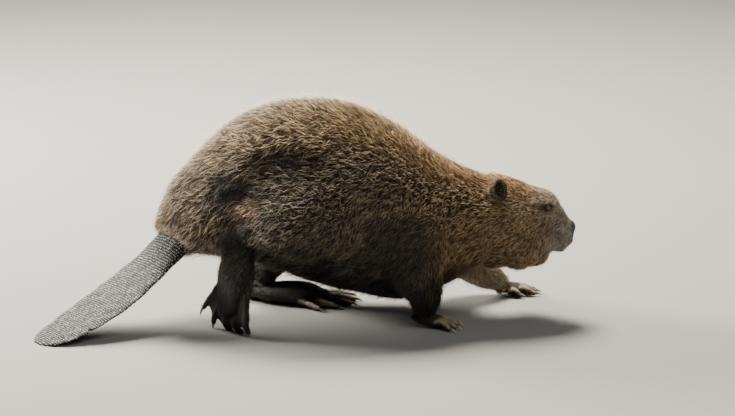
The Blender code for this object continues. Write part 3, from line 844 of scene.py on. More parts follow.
@dataclass(frozen=True)
class ScaleFinish(Finish):
    """The tail's horny scales: grey plates, darker grooves and a soft shine."""

    grain: Tree
    plate: Colour = (72, 70, 69)
    pale: Colour = (166, 163, 159)
    groove: Colour = (20, 19, 19)
    stain: Colour = (78, 71, 66)
    name = "tail_scales"
    constants = {"specular_ior_level": 0.1}

    def wire(self, graph: Graph) -> dict[str, Socket]:
        """Gives each plate its own tone, and the grooves and stains theirs."""
        place = graph.place()
        tone = graph.plus(0.1, graph.times(graph.attribute("tone"), 0.8))
        colour = graph.mix(tone, self.plate, self.pale)
        stain = graph.step(graph.noise(place, 22.0, 4.0, 0.6), 0.52, 0.72)
        colour = graph.mix(graph.times(stain, 0.55), colour, self.stain)
        groove = graph.attribute("groove")
        colour = graph.mix(graph.step(groove, 0.0, 0.62), colour, self.groove)
        leather = graph.group(self.grain, Place=place, Scale=900.0)
        rough = graph.plus(0.5, graph.times(leather["Low"], 0.25))
        rough = graph.plus(rough, graph.times(groove, 0.25))
        normal = graph.bump(leather["Height"], 0.35, 0.0003)
        return {"base_color": colour, "roughness": rough, "normal": normal}


@dataclass(frozen=True)
class NoseFinish(Finish):
    """The wet black leather of the nose."""

    grain: Tree
    skin: Colour = (18, 16, 15)
    worn: Colour = (58, 52, 47)
    nostril: Colour = (6, 5, 5)
    name = "nose_leather"
    constants = {"coat_weight": 0.15, "coat_roughness": 0.25}

    def wire(self, graph: Graph) -> dict[str, Socket]:
        """Wears the leather unevenly and darkens the nostrils."""
        place = graph.place()
        leather = graph.group(self.grain, Place=place, Scale=820.0)
        worn = graph.times(graph.noise(place, 90.0, 3.0), 0.6)
        colour = graph.mix(worn, self.skin, self.worn)
        colour = graph.mix(graph.attribute("dark"), colour, self.nostril)
        rough = graph.plus(0.34, graph.times(leather["Low"], 0.3))
        normal = graph.bump(leather["Height"], 0.6, 0.0004)
        return {"base_color": colour, "roughness": rough, "normal": normal}


@dataclass(frozen=True)
class ClawFinish(Finish):
    """Horn, dark at the root and pale and worn at the tip."""

    root: Colour = (58, 46, 36)
    tip: Colour = (196, 176, 138)
    name = "claw_horn"

    def wire(self, graph: Graph) -> dict[str, Socket]:
        """Draws streaks along the horn, and fades it from root to tip."""
        along = graph.attribute("along")
        streaks = graph.noise(graph.attribute("lengthwise", vector=True), 900.0, 3.0)
        share = graph.plus(along, graph.swing(streaks, 0.5))
        colour = graph.ramp(share, [(0.1, self.root), (0.95, self.tip)])
        rough = graph.plus(0.26, graph.times(streaks, 0.22))
        normal = graph.bump(streaks, 0.3, 0.0002)
        return {"base_color": colour, "roughness": rough, "normal": normal}


@dataclass(frozen=True)
class EyeFinish(Finish):
    """A dark brown iris round a black pupil, under a clear coat."""

    pupil: Colour = (3, 3, 3)
    iris: Colour = (46, 28, 16)
    rim: Colour = (16, 11, 9)
    name = "eye"
    constants = {"roughness": 0.12, "coat_weight": 1.0, "coat_roughness": 0.03}

    def wire(self, graph: Graph) -> dict[str, Socket]:
        """Rings pupil, iris and rim round the eye's axis, with frayed edges."""
        off_axis = graph.attribute("off_axis")
        ray = graph.noise(graph.place(), 1500.0, 2.0)
        wobble = graph.plus(off_axis, graph.swing(ray, 0.12))
        stops = [(0.2, self.pupil), (0.27, self.iris), (0.48, self.iris), (0.56, self.rim)]
        return {"base_color": graph.ramp(wobble, stops)}


@dataclass(frozen=True)
class WhiskerFinish(Finish):
    """Stiff hairs, dark at the root and pale towards the tip."""

    root: Colour = (52, 42, 34)
    middle: Colour = (172, 160, 142)
    tip: Colour = (214, 206, 190)
    name = "whisker"
    constants = {"roughness": 0.35}

    def wire(self, graph: Graph) -> dict[str, Socket]:
        """Fades each hair along its length."""
        stops = [(0.0, self.root), (0.5, self.middle), (1.0, self.tip)]
        return {"base_color": graph.ramp(graph.attribute("along"), stops)}


@dataclass(frozen=True)
class FloorFinish(Finish):
    """A plain pale studio floor."""

    colour: Colour = (132, 130, 126)
    cloudy: Colour = (124, 122, 118)
    name = "floor"
    constants = {"roughness": 0.9, "specular_ior_level": 0.1}

    def wire(self, graph: Graph) -> dict[str, Socket]:
        """Clouds the floor very slightly."""
        cloud = graph.times(graph.noise(graph.place(), 3.0, 2.0), 0.05)
        return {"base_color": graph.mix(cloud, self.colour, self.cloudy)}


# ---------------- tail
@dataclass
class Tail:
    """The flat tail, with a horny plate for each of its scales."""

    root: Vector = field(default_factory=lambda: at(-0.236, -0.014, 0.137))
    reach: Vector = field(default_factory=lambda: Vector((-0.226, -0.174, -0.1374)))
    sag: float = 0.0175
    thickness: float = 0.021
    plan: tuple[tuple[float, float], ...] = (  # share of the length, half width
        (0.0, 0.0445), (0.1, 0.0495), (0.25, 0.057), (0.42, 0.062), (0.58, 0.0615),
        (0.74, 0.056), (0.87, 0.046), (0.95, 0.0335), (0.99, 0.0175), (1.0, 0.005),
    )
    nick_at: float = 0.735
    columns: int = 196
    rings: int = 300
    pitch: tuple[float, float] = (0.0052, 0.0041)  # from scale to scale, along and across
    cells: tuple[int, int] = (400, 200)  # rows and columns of scales, more than both sides need
    upper_from: tuple[int, int] = (20, 80)  # the cell at the root's middle, on the upper side
    under_from: int = 150  # how many rows further the underside begins
    groove: float = 0.0012
    plate_height: float = 0.00075

    def middle(self, t: Array) -> Array:
        """Returns the middle line's places, t running from the coat's edge to the tip."""
        points = np.array(self.root) + np.outer(t, self.reach)
        points[:, 2] -= 4 * self.sag * t * (1 - t)
        return points

    def axes(self, t: Array) -> tuple[Array, Array, Array]:
        """Returns the tail's direction, its level width axis and its upper side's normal."""
        ahead = unit(self.middle(t + 0.01) - self.middle(t - 0.01))
        side = unit(np.cross((0, 0, 1), ahead))
        return ahead, side, np.cross(ahead, side)

    def section(self, t: Array) -> tuple[Array, Array]:
        """Returns the half width and half thickness at shares of the length."""
        known = np.array(self.plan)
        half = np.interp(t, known[:, 0], known[:, 1])
        oval = np.maximum(0, 1 - t / 0.22) ** 1.5
        edge = np.minimum(1, half / 0.03 + 0.15)
        return half, 0.5 * self.thickness * (1 - 0.62 * t) * edge + 0.0125 * oval

    def build(self, material: Material) -> Piece:
        """Builds the tail.

        Args:
            material: The scales' finish.

        Returns:
            The finished piece.
        """
        obj, ball = new_sphere("tail", self.columns, self.rings)
        turn, angle = polar(ball)
        t = np.sin(turn * math.pi / 2) * 0.35 + (1 - (1 - turn) ** 1.35) * 0.65
        even = 1 - 2 * np.abs(angle) / math.pi
        across = 0.45 * np.cos(angle) + 0.55 * even
        half, thick = self.section(t)
        high = np.sign(angle) * np.sqrt(np.maximum(0, 1 - np.abs(across) ** 2.4))
        closing = np.clip(turn / 0.006, 0, 1)
        points = self.middle(t)
        _, side, up = self.axes(t)
        relief, groove, tone = self.scales(t, across * half, angle > 0)
        reach = (thick - self.plate_height + relief) * high * closing
        points += side * (half * across * closing)[:, None] + up * reach[:, None]
        points += up * (self.wrinkles(t, across) * closing)[:, None]
        write_points(obj, keep_above(self.nick(points, t, across)))
        face_outwards(obj)
        store(obj, "groove", groove)
        store(obj, "tone", tone)
        return finish_piece(obj, Slot.TAIL, material, "tail_paddle")

    def scales(self, t: Array, across: Array, above: Array) -> tuple[Array, Array, Array]:
        """Lays out the scales in staggered rows of uneven cells.

        Args:
            t: Shares of the tail's length.
            across: Distances from its middle line.
            above: Whether a point is on the upper side.

        Returns:
            Each point's height of plate, share of groove, and the tone of its scale.
        """
        rng = np.random.default_rng(SEED)
        shifts = rng.uniform(-0.2, 0.2, (*self.cells, 2))
        tones = rng.uniform(0, 1, self.cells)
        size = 0.72 + 0.28 * np.minimum(1, t / 0.3) - 0.16 * np.clip((t - 0.75) / 0.25, 0, 1)
        first_row, first_column = self.upper_from
        row = t * self.reach.length / self.pitch[0] / 0.92 + first_row
        row += np.where(above, 0, self.under_from)
        column = across / self.pitch[1] / size + first_column
        near = np.full((2, len(t)), 9.0)
        tone = np.zeros(len(t))
        for down in (-1, 0, 1):
            cell_row = np.floor(row).astype(int) + down
            stagger = 0.5 * (cell_row % 2)
            for over in (-1, 0, 1):
                cell_column = np.floor(column - stagger).astype(int) + over
                shift = shifts[cell_row, cell_column]
                away_along = (cell_row + 0.5 + shift[:, 0] - row) * 1.06
                away_across = cell_column + 0.5 + stagger + shift[:, 1] - column
                distance = np.hypot(away_along, away_across)
                closer = distance < near[0]
                tone = np.where(closer, tones[cell_row, cell_column], tone)
                near[1] = np.where(closer, near[0], np.minimum(near[1], distance))
                near[0] = np.minimum(near[0], distance)
        gap = (near[1] - near[0]) * self.pitch[1] * size
        plate = np.clip(gap / (2 * self.groove), 0, 1)
        plate = plate * plate * (3 - 2 * plate)
        dome = 1 - np.clip(near[0] / 0.75, 0, 1) ** 2
        relief = self.plate_height * (0.75 * plate + 0.25 * dome)
        return relief, 1 - plate, tone

    def wrinkles(self, t: Array, across: Array) -> Array:
        """Returns the slow unevenness of an old tail, with a ridge down its middle."""
        ridge = 0.001 * bell(across, 0.16) * (1 - t)
        ripple = 0.0009 * np.sin(17 * t + 3 * across) * across**2 * t
        return ridge + ripple + 0.0005 * np.sin(41 * t + 9 * across) * np.abs(across)

    def nick(self, points: Array, t: Array, across: Array) -> Array:
        """Draws in the small healed notch of the tail's edge."""
        length = self.reach.length
        depth = 0.0075 * bell((t - self.nick_at) * length, 0.0032)
        depth *= np.clip((across - 0.8) / 0.2, 0, 1)
        _, side, _ = self.axes(t)
        return points - side * depth[:, None]


# ---------------- head's small parts
def turn_level(degrees: float) -> Matrix:
    """Returns a turn about the upright."""
    return Matrix.Rotation(math.radians(degrees), 3, "Z")


def eye_axis(side: str) -> Vector:
    """Returns the direction in which an eye looks."""
    return Vector((0.34, SIDES[side] * 1.0, 0.22)).normalized()


def upright(axis: Vector) -> Matrix:
    """Returns the turn whose X lies ahead, Y up and Z along an axis that points sideways."""
    ahead = (Vector((1, 0, 0)) - axis * axis.x).normalized()
    up = Vector((0, 0, 1))
    up = (up - axis * up.dot(axis) - ahead * up.dot(ahead)).normalized()
    return Matrix((ahead, up, axis)).transposed()


@dataclass
class Eye:
    """One eyeball, and the lids that close round it."""

    side: str
    lid_width: float = 0.0015
    opening: tuple[float, float] = (68.0, 61.0)  # half angles of the opening, along and up

    def centre(self) -> Vector:
        """Returns the eyeball's middle."""
        return box_middle(f"eye_{self.side}")

    def build(self, material: Material) -> Piece:
        """Builds the eyeball, with a cornea that stands a little proud.

        Args:
            material: The eye's finish.

        Returns:
            The finished piece.
        """
        obj, ball = new_sphere(f"eyeball_{self.side}", 40, 24)
        axis = np.array(eye_axis(self.side))
        off = np.arccos(np.clip(ball @ axis, -1, 1))
        cornea = 1 + 0.045 * bell(off, 0.55)
        write_points(obj, np.array(self.centre()) + ball * (EYE_RADIUS * cornea)[:, None])
        store(obj, "off_axis", off / math.pi * 2)
        return finish_piece(obj, Slot.EYE, material, f"eye_{self.side}")

    def lids(self) -> Piece:
        """Shapes a torus into the closed ring of both lids.

        Returns:
            The ring, to be welded to the skin.
        """
        add, tube = bpy.ops.mesh.primitive_torus_add, 0.25
        obj = new_primitive(
            add, "lids", major_segments=56, minor_segments=16, major_radius=1.0, minor_radius=tube
        )
        ring = read_points(obj)
        around = np.arctan2(ring[:, 1], ring[:, 0])
        tube_x = (np.hypot(ring[:, 0], ring[:, 1]) - 1.0) / tube
        tube_z = ring[:, 2] / tube
        wide, high = (math.radians(a) for a in self.opening)
        upper = np.maximum(np.sin(around), 0)
        opening = wide * np.cos(around) ** 2 + high * np.sin(around) ** 2 - 0.1 * upper
        width = self.lid_width * (0.85 + 0.55 * upper)
        turn = np.array(upright(eye_axis(self.side)))
        level = np.stack([np.cos(around), np.sin(around), np.zeros_like(around)], axis=1)
        rise, run = np.sin(opening)[:, None], np.cos(opening)[:, None]
        outwards = np.array((0, 0, 1))
        aim, out = level * rise + outwards * run, level * run - outwards * rise
        local = aim * (EYE_RADIUS + 0.0002 + width * 0.55 + width * tube_z)[:, None]
        local += out * (width * 1.5 * tube_x)[:, None]
        write_points(obj, np.array(self.centre()) + local @ turn.T)
        return face_outwards(obj)


@dataclass
class Nose:
    """The bare pad of the snout, with a comma-shaped nostril on each side."""

    size: Vector = field(default_factory=lambda: Vector((0.013, 0.018, 0.015)))
    tilt: float = 24.0
    nostril: tuple[tuple[float, float, float, float, float], ...] = (
        (0.006, 0.014, 0.0005, 0.003, 0.0052),  # the hole: its place, reach and depth
        (0.001, 0.0172, 0.0035, 0.0022, 0.0026),  # the comma's tail
    )
    wing: tuple[float, float, float, float, float] = (0.006, 0.014, -0.004, 0.0042, 0.001)

    def build(self, material: Material) -> Piece:
        """Builds the pad.

        Args:
            material: The leather.

        Returns:
            The finished piece.
        """
        obj, ball = new_sphere("nose_pad", 96, 64)
        turn = np.array(Matrix.Rotation(math.radians(self.tilt), 3, "Y"))
        local = ball * np.array(self.size)
        cleft = bell(local[:, 1], 0.0016) * np.clip(ball[:, 0], 0, 1)
        dark = np.zeros(len(ball))
        local *= (1 - 0.1 * cleft)[:, None]
        for side in SIDES.values():
            for x, y, z, reach, depth in self.nostril:
                near = bell(lengths(local - (x, side * y, z)), reach)
                local -= unit(local) * (near * depth)[:, None]
                dark = np.maximum(dark, near)
            x, y, z, reach, height = self.wing
            near = bell(lengths(local - (x, side * y, z)), reach)
            local += unit(local) * (near * height)[:, None]
        write_points(obj, np.array(at(*NOSE_PAD)) + local @ turn.T)
        store(obj, "dark", np.clip(dark * 1.6, 0, 1))
        return finish_piece(obj, Slot.NOSE, material, "nose")


@dataclass
class Ear:
    """A round cup of skin with a rolled rim, to be welded to the head."""

    side: str
    size: Vector = field(default_factory=lambda: Vector((0.017, 0.018, 0.02)))
    wall: float = 0.26  # the wall's thickness as a share of the cup's radius
    outer_rings: float = 0.58  # the share of rings that shape the outside
    lean: float = -16.0  # degrees up
    facing: float = 42.0  # degrees outwards from straight ahead
    rim: float = 108.0  # degrees from the cup's bottom to its rim

    def turn(self) -> Array:
        """Returns the cup's turn, whose X axis points out of its opening."""
        lean = Matrix.Rotation(math.radians(self.lean), 3, "Y")
        return np.array(turn_level(SIDES[self.side] * self.facing) @ lean)

    def centre(self) -> Vector:
        """Returns the middle of the cup."""
        centre = at(0.345, SIDES[self.side] * 0.06, 0.0)
        centre.z = box_middle(f"ear_{self.side}").z
        return centre

    def hollow(self, points: Array, normals: Array) -> Array:
        """Returns which points lie inside the cup."""
        local = (points - np.array(self.centre())) @ self.turn() / np.array(self.size)
        inside = np.hypot(local[:, 1], local[:, 2]) < 1 - 0.8 * self.wall
        return inside & (np.abs(local[:, 0]) < 1.2) & (normals @ self.turn()[:, 0] > 0.1)

    def build(self) -> Piece:
        """Builds the closed ear.

        Returns:
            The ear's form, to be welded to the skin.
        """
        obj, ball = new_sphere(f"ear_form_{self.side}", 48, 40)
        share, angle = polar(ball)
        outside = np.clip(share / self.outer_rings, 0, 1)
        inside = np.clip((share - self.outer_rings) / (1 - self.outer_rings), 0, 1)
        sweep_back = outside * math.radians(self.rim)
        radius = np.where(inside > 0, (1 - inside) * (1 - self.wall), np.sin(sweep_back))
        hollow = 0.36 - 0.95 * np.sqrt(1 - (1 - inside) ** 2)
        depth = np.where(inside > 0, hollow, -np.cos(sweep_back))
        notch = 1 - 0.1 * bell(angle + 1.9, 0.4) * radius
        across, up = radius * np.cos(angle) * notch, radius * np.sin(angle) * notch
        local = np.stack([depth, across, up], axis=1)
        write_points(obj, np.array(self.centre()) + (local * np.array(self.size)) @ self.turn().T)
        return face_outwards(obj)


# ---------------- paws
@dataclass
class Claw:
    """A curved horn whose root lies inside its toe."""

    name: str
    base: Vector
    aim: Vector
    length: float
    # how far ahead and how far down the horn's middle runs, and its half width, in lengths
    line: tuple[Triple, ...] = (
        (-0.28, 0.02, 0.125), (0.0, -0.02, 0.145), (0.3, -0.045, 0.138),
        (0.56, -0.01, 0.108), (0.8, 0.07, 0.07), (0.99, 0.17, 0.024),
    )

    def build(self, material: Material) -> Piece:
        """Builds the claw and lets it stand for its solid.

        Args:
            material: The horn.

        Returns:
            The finished piece.
        """
        across = self.aim.cross(Vector((0, 0, 1)))
        across = across.normalized() if across.length > 0.2 else Vector((0, 1, 0))
        down = self.aim.cross(across).normalized()
        down = down if down.z < 0 else -down
        path = [
            self.base + (self.aim * run + down * fall) * self.length for run, fall, _ in self.line
        ]
        radii = [width * self.length for _, _, width in self.line]
        obj = sweep(f"claw_{self.name}", path, radii, across, 1.12, 16, 22)
        points = keep_above(read_points(obj), 0.0001)
        write_points(obj, points)
        local = points - np.array(self.base)
        along = np.clip(local @ np.array(self.aim) / self.length, 0, 1)
        store(obj, "along", along)
        store(obj, "lengthwise", local - np.outer(local @ np.array(self.aim), self.aim) * 0.88)
        return finish_piece(obj, Slot.CLAW, material, self.name)


@dataclass(frozen=True)
class Digit:
    """One finger or toe: where it starts and ends on its paw, and how thick it is."""

    root_out: float
    tip_out: float
    start: float
    end: float
    radius: float


KNUCKLES = (1.12, 0.98, 1.14, 0.92, 1.08, 0.96, 0.78)  # a digit's thickness along it
PAW_VOXEL = 0.00125
# a hind foot's middle line from heel to toes: along the sole, above it, half width
FLAT_HEEL = ((0.0, 0.017, 0.026), (0.03, 0.015, 0.035))
RAISED_HEEL = ((0.014, 0.0155, 0.024), (0.03, 0.015, 0.0315))
INSTEP = ((0.062, 0.016, 0.0385), (0.094, 0.015, 0.039), (0.12, 0.011, 0.03))


@dataclass
class Hand:
    """A fore paw flat on the floor: palm, five splayed fingers and their claws."""

    side: str
    wrist: Vector
    heading: float
    stub: tuple[Vector, Vector]  # the forearm's end, up inside the coat
    length: float = 0.06
    claw_length: float = 0.014
    claw_droop: float = 0.14
    # each finger's place outwards, splay in degrees, share of the length, and radius
    fingers: tuple[tuple[float, float, float, float], ...] = (
        (-0.017, -34, 0.55, 0.0046), (-0.0095, -15, 0.92, 0.0053), (-0.0005, -1, 1.0, 0.0055),
        (0.009, 13, 0.94, 0.0053), (0.0165, 30, 0.74, 0.0049),
    )
    # a finger's arch: shares of its length, and how high its middle lies over the knuckle
    arch: tuple[tuple[float, float], ...] = (
        (-0.25, -0.001), (0.0, 0.0012), (0.2, 0.0028), (0.42, 0.0026), (0.64, 0.0004),
        (0.84, -0.003), (1.0, -0.0052),
    )
    # the palm's middle line from heel to knuckles: ahead, up, half width
    palm: tuple[Triple, ...] = (
        (-0.008, 0.0165, 0.015), (0.006, 0.0145, 0.017), (0.02, 0.0115, 0.019),
        (0.034, 0.0085, 0.0155),
    )

    def turn(self) -> Matrix:
        """Returns the paw's turn about the upright."""
        return turn_level(self.heading)

    def place(self, ahead: float, outwards: float, up: float) -> Vector:
        """Returns the scene place of a point of the paw."""
        level = self.turn() @ Vector((ahead, SIDES[self.side] * outwards, 0))
        return Vector((self.wrist.x, self.wrist.y, up)) + level

    def lines(self) -> list[tuple[list[Vector], float, Vector]]:
        """Returns each finger's middle line, thickness and direction.

        Returns:
            A path, a radius and a direction for each finger.
        """
        reach, found = self.length - 0.026, []
        for number, (outwards, splay, share, radius) in enumerate(self.fingers):
            spin = turn_level(SIDES[self.side] * splay)
            direction = self.turn() @ spin @ Vector((1, 0, 0))
            knuckle = self.place(0.024 if number else 0.01, outwards, 0.0105)
            path = [
                knuckle + direction * reach * share * step + Vector((0, 0, lift))
                for step, lift in self.arch
            ]
            found.append((path, radius, direction))
        return found

    def build(self) -> Piece:
        """Returns the closed paw, to be welded to the skin."""
        across = self.turn() @ Vector((0, 1, 0))
        palm = [self.place(ahead, 0, up) for ahead, up, _ in self.palm]
        arm = [*self.stub, self.place(0.002, 0, 0.015)]
        forms = [
            sweep("palm", palm, [radius for _, _, radius in self.palm], across, 0.62),
            sweep("wrist", arm, [0.015, 0.0148, 0.0135], across, 0.92),
        ]
        for path, radius, _ in self.lines():
            radii = [radius * k for k in KNUCKLES]
            forms.append(sweep("finger", path, radii, across, 0.94, 16, 26))
            ends = ((path[-3], 0.4), (path[-2], 0.45))
            pad = [place + Vector((0, 0, -radius * down)) for place, down in ends]
            forms.append(sweep("pad", pad, [radius * 0.75] * 2, across))
        return fuse(f"hand_form_{self.side}", forms, PAW_VOXEL, 1)

    def claws(self) -> list[Claw]:
        """Returns the hand's claws."""
        made = []
        for number, (path, _, direction) in enumerate(self.lines(), 1):
            share = self.fingers[number - 1][2]
            aim = (direction + Vector((0, 0, -self.claw_droop))).normalized()
            tip = path[-1] + Vector((0, 0, 0.0014))
            name = f"hand_{self.side}_claw_{number}"
            made.append(Claw(name, tip, aim, self.claw_length * (0.75 + 0.25 * share)))
        return made


@dataclass
class HindFoot:
    """A webbed hind foot, flat on the floor or raised on its toes.

    lift is the sole's slope behind the turn, in degrees, and bend is where along the sole the turn
    begins, and its radius.
    """

    side: str
    heel: Vector
    heading: float
    lift: float
    bend: tuple[float, float]
    stub: tuple[tuple[Vector, float], ...] = ()
    length: float = 0.18
    claw_length: float = 0.017
    toes: tuple[Digit, ...] = (
        Digit(-0.0285, -0.056, 0.08, 0.74, 0.0054),
        Digit(-0.0155, -0.0325, 0.082, 0.89, 0.0062),
        Digit(-0.001, -0.0035, 0.084, 0.99, 0.0068),
        Digit(0.0135, 0.0245, 0.084, 1.0, 0.007),
        Digit(0.0275, 0.052, 0.08, 0.91, 0.0066),
    )
    lifts: tuple[float, ...] = (0.013, 0.0118, 0.0108, 0.0096, 0.0082, 0.0066, 0.0046)
    web_thickness: float = 0.0026
    web_height: float = 0.005  # of its middle over the sole
    web_fold: float = 0.0011

    def sole_at(self, along: float) -> Triple:
        """Finds the sole's place at a length from the heel.

        Args:
            along: The length along the sole.

        Returns:
            How far ahead and how high it lies there, and its slope.
        """
        steep, (start, radius) = math.radians(self.lift), self.bend
        turned = start + radius * steep
        if not self.lift:
            return along, 0.0, 0.0
        if along <= start:
            rise = radius * (1 - math.cos(steep)) + (start - along) * math.sin(steep)
            return (along - start) * math.cos(steep), rise, steep
        if along <= turned:
            slope = steep - (along - start) / radius
            ahead = radius * (math.sin(steep) - math.sin(slope))
            return ahead, radius * (1 - math.cos(slope)), slope
        return radius * math.sin(steep) + along - turned, 0.0, 0.0

    def axes(self) -> tuple[Vector, Vector]:
        """Returns the foot's level directions, ahead and outwards."""
        turn = turn_level(self.heading)
        return turn @ Vector((1, 0, 0)), turn @ Vector((0, SIDES[self.side], 0))

    def place(self, along: float, out: float, above: float) -> Vector:
        """Returns the scene place of a point of the foot."""
        run, rise, slope = self.sole_at(along)
        ahead, outwards = self.axes()
        forward, up = run + above * math.sin(slope), rise + above * math.cos(slope)
        return self.heel + ahead * forward + outwards * out + Vector((0, 0, up))

    def on_toe(self, toe: Digit, t: float, lift: float) -> Vector:
        """Returns the place at a share of a toe's length, this far above the sole."""
        out = toe.root_out + (toe.tip_out - toe.root_out) * t**0.9
        return self.place(toe.start + (toe.end * self.length - toe.start) * t, out, lift)

    def line(self, toe: Digit, lifts: tuple[float, ...]) -> list[Vector]:
        """Returns a toe's middle line at evenly spaced steps."""
        return [self.on_toe(toe, k / (len(lifts) - 1), lift) for k, lift in enumerate(lifts)]

    def lines(self) -> list[tuple[list[Vector], float]]:
        """Returns each toe's middle line and thickness."""
        return [(self.line(toe, self.lifts), toe.radius) for toe in self.toes]

    def web(self, inner: Digit, outer: Digit) -> Piece:
        """Returns the skin between two toes, with a hollow front edge and slack folds.

        Args:
            inner: The toe on one side.
            outer: The toe on the other.

        Returns:
            The web's form.
        """
        add = bpy.ops.mesh.primitive_grid_add
        obj = new_primitive(add, "web", x_subdivisions=12, y_subdivisions=22, size=2)
        flat = read_points(obj)
        share, along = (flat[:, 0] + 1) / 2, (flat[:, 1] + 1) / 2
        t = along * (0.95 - 0.15 * np.sin(share * math.pi))
        level = (self.web_height,) * 12
        edges = [curve_through(self.line(toe, level), t) for toe in (inner, outer)]
        points = edges[0] + (edges[1] - edges[0]) * share[:, None]
        points[:, 2] += self.web_fold * np.sin(share * 2 * math.pi) * t
        write_points(obj, points)
        apply_modifier(obj, "SOLIDIFY", thickness=self.web_thickness, offset=0.0)
        return obj

    def build(self) -> Piece:
        """Returns the closed foot, to be welded to the skin."""
        _, outwards = self.axes()
        spine = [*(RAISED_HEEL if self.lift else FLAT_HEEL), *INSTEP]
        path = [self.place(along, 0, up) for along, up, _ in spine]
        forms = [sweep("instep", path, [row[2] for row in spine], outwards, 0.5, 24, 32)]
        if self.stub:
            heel = [self.place(-0.016, 0, 0.017), self.place(0.016, 0, 0.0205)]
            forms.append(sweep("heel", heel, [0.017, 0.0205], outwards))
            path, thick = zip(*self.stub)
            forms.append(sweep("ankle", list(path), list(thick), outwards))
        for path, radius in self.lines():
            forms.append(sweep("toe", path, [radius * k for k in KNUCKLES], outwards, 0.9, 16, 34))
        for inner, outer in zip(self.toes, self.toes[1:]):
            forms.append(self.web(inner, outer))
        return fuse(f"foot_form_{self.side}", forms, PAW_VOXEL, 1)

    def claws(self) -> list[Claw]:
        """Returns the foot's claws."""
        made = []
        for number, toe in enumerate(self.toes, 1):
            tip, before = self.on_toe(toe, 1.0, 0.0046), self.on_toe(toe, 0.82, 0.0068)
            name = f"foot_{self.side}_claw_{number}"
            made.append(Claw(name, tip, (tip - before).normalized(), self.claw_length))
        return made


def build_paws() -> list[Hand | HindFoot]:
    """Returns the four paws in the animal's stride."""
    return [
        Hand("right", at(0.214, -0.086, 0.0), -4,
             (at(0.2135, -0.09, 0.052), at(0.214, -0.087, 0.03))),
        Hand("left", at(0.368, 0.118, 0.0), 9, (at(0.34, 0.114, 0.038), at(0.356, 0.116, 0.028))),
        HindFoot("right", at(-0.141, -0.122, -0.004), 48, 103, (0.142, 0.026)),
        HindFoot(
            "left", at(-0.093, 0.094, 0.0), -13, 0, (1.0, 0.03),
            ((at(-0.073, 0.0955, 0.058), 0.019), (at(-0.08, 0.094, 0.026), 0.018)),
        ),
    ]


# ---------------- skin
@dataclass(frozen=True)
class Pelt:
    """How the coat grows over one solid.

    depth, length and width are metres, lift is degrees, density is guard tufts per square metre
    and stray is how far a tuft's way wanders, in radians.
    """

    depth: float
    length: float
    lift: float
    width: float
    density: float
    stray: float


BODY_PELT = Pelt(0.009, 0.0205, 36, 0.0018, 104e3, 0.37)
HEAD_PELT = Pelt(0.0034, 0.0115, 23, 0.0012, 270e3, 0.22)
LEG_PELT = Pelt(0.0045, 0.011, 26, 0.0014, 200e3, 0.34)
EAR_PELT = Pelt(0.0, 0.005, 24, 0.0009, 420e3, 0.3)
PAW_PELT = Pelt(0.0, 0.004, 13, 0.0008, 260e3, 0.2)
FOOT_PELT = Pelt(0.0, 0.0068, 18, 0.0011, 190e3, 0.3)
PELTS = {
    "trunk": BODY_PELT,
    "tail_collar": Pelt(0.008, 0.0175, 34, 0.0018, 110e3, 0.3),
    "chest": Pelt(0.008, 0.0175, 33, 0.0016, 120e3, 0.38),
    "neck": Pelt(0.0066, 0.015, 30, 0.0014, 165e3, 0.3),
    "head": HEAD_PELT,
    "lower_jaw": HEAD_PELT,
    "thigh_left": Pelt(0.0085, 0.017, 32, 0.0018, 110e3, 0.46),
    "thigh_right": Pelt(0.0085, 0.017, 32, 0.0018, 110e3, 0.46),
    "shank_left": LEG_PELT,
    "hock_right": LEG_PELT,
    "foreleg_left": Pelt(0.005, 0.013, 26, 0.0014, 180e3, 0.3),
    "foreleg_right": Pelt(0.005, 0.013, 26, 0.0014, 180e3, 0.3),
    "ear_left": EAR_PELT,
    "ear_right": EAR_PELT,
    "hand_left": PAW_PELT,
    "hand_right": PAW_PELT,
    "foot_left": FOOT_PELT,
    "foot_right": FOOT_PELT,
}
SOLE_WAY = np.array((-0.67, -0.74, 0.05))  # which way the raised sole looks
SOLE_EDGE = 0.35  # a normal's share of that way at the sole's edge
FURRED = tuple(node for node in PELTS if not node.startswith(("ear", "hand", "foot")))


@dataclass(frozen=True)
class Layer:
    """One layer of the coat: shares of the pelt's numbers, its range of tone and its curl."""

    density: float
    length: float
    lift: float
    width: float
    tones: tuple[float, float]
    curl: float
    seed: int
    spindle: bool  # drawn to a point at the root too, or a cone


LAYERS = (
    Layer(0.62, 0.62, 0.85, 1.9, (0.0, 0.26), 0.0, 11, False),  # wool
    Layer(1.8, 1.0, 1.0, 0.47, (0.0, 1.0), 0.11, 12, True),  # guard hairs
    Layer(0.22, 1.42, 1.65, 0.4, (0.8, 1.0), 0.2, 13, True),  # the longest, which stand out
)


@dataclass(frozen=True)
class Swell:
    """A gentle push of the skin outwards, or inwards below zero, on both sides alike."""

    x: float
    y: float
    z: float
    reach: Triple
    push: float


@dataclass(frozen=True)
class Fold:
    """A furrow along a line; seen from the flank if level, so that it ignores the depth."""

    points: tuple[Triple, ...]
    width: float
    depth: float
    flank: bool = False


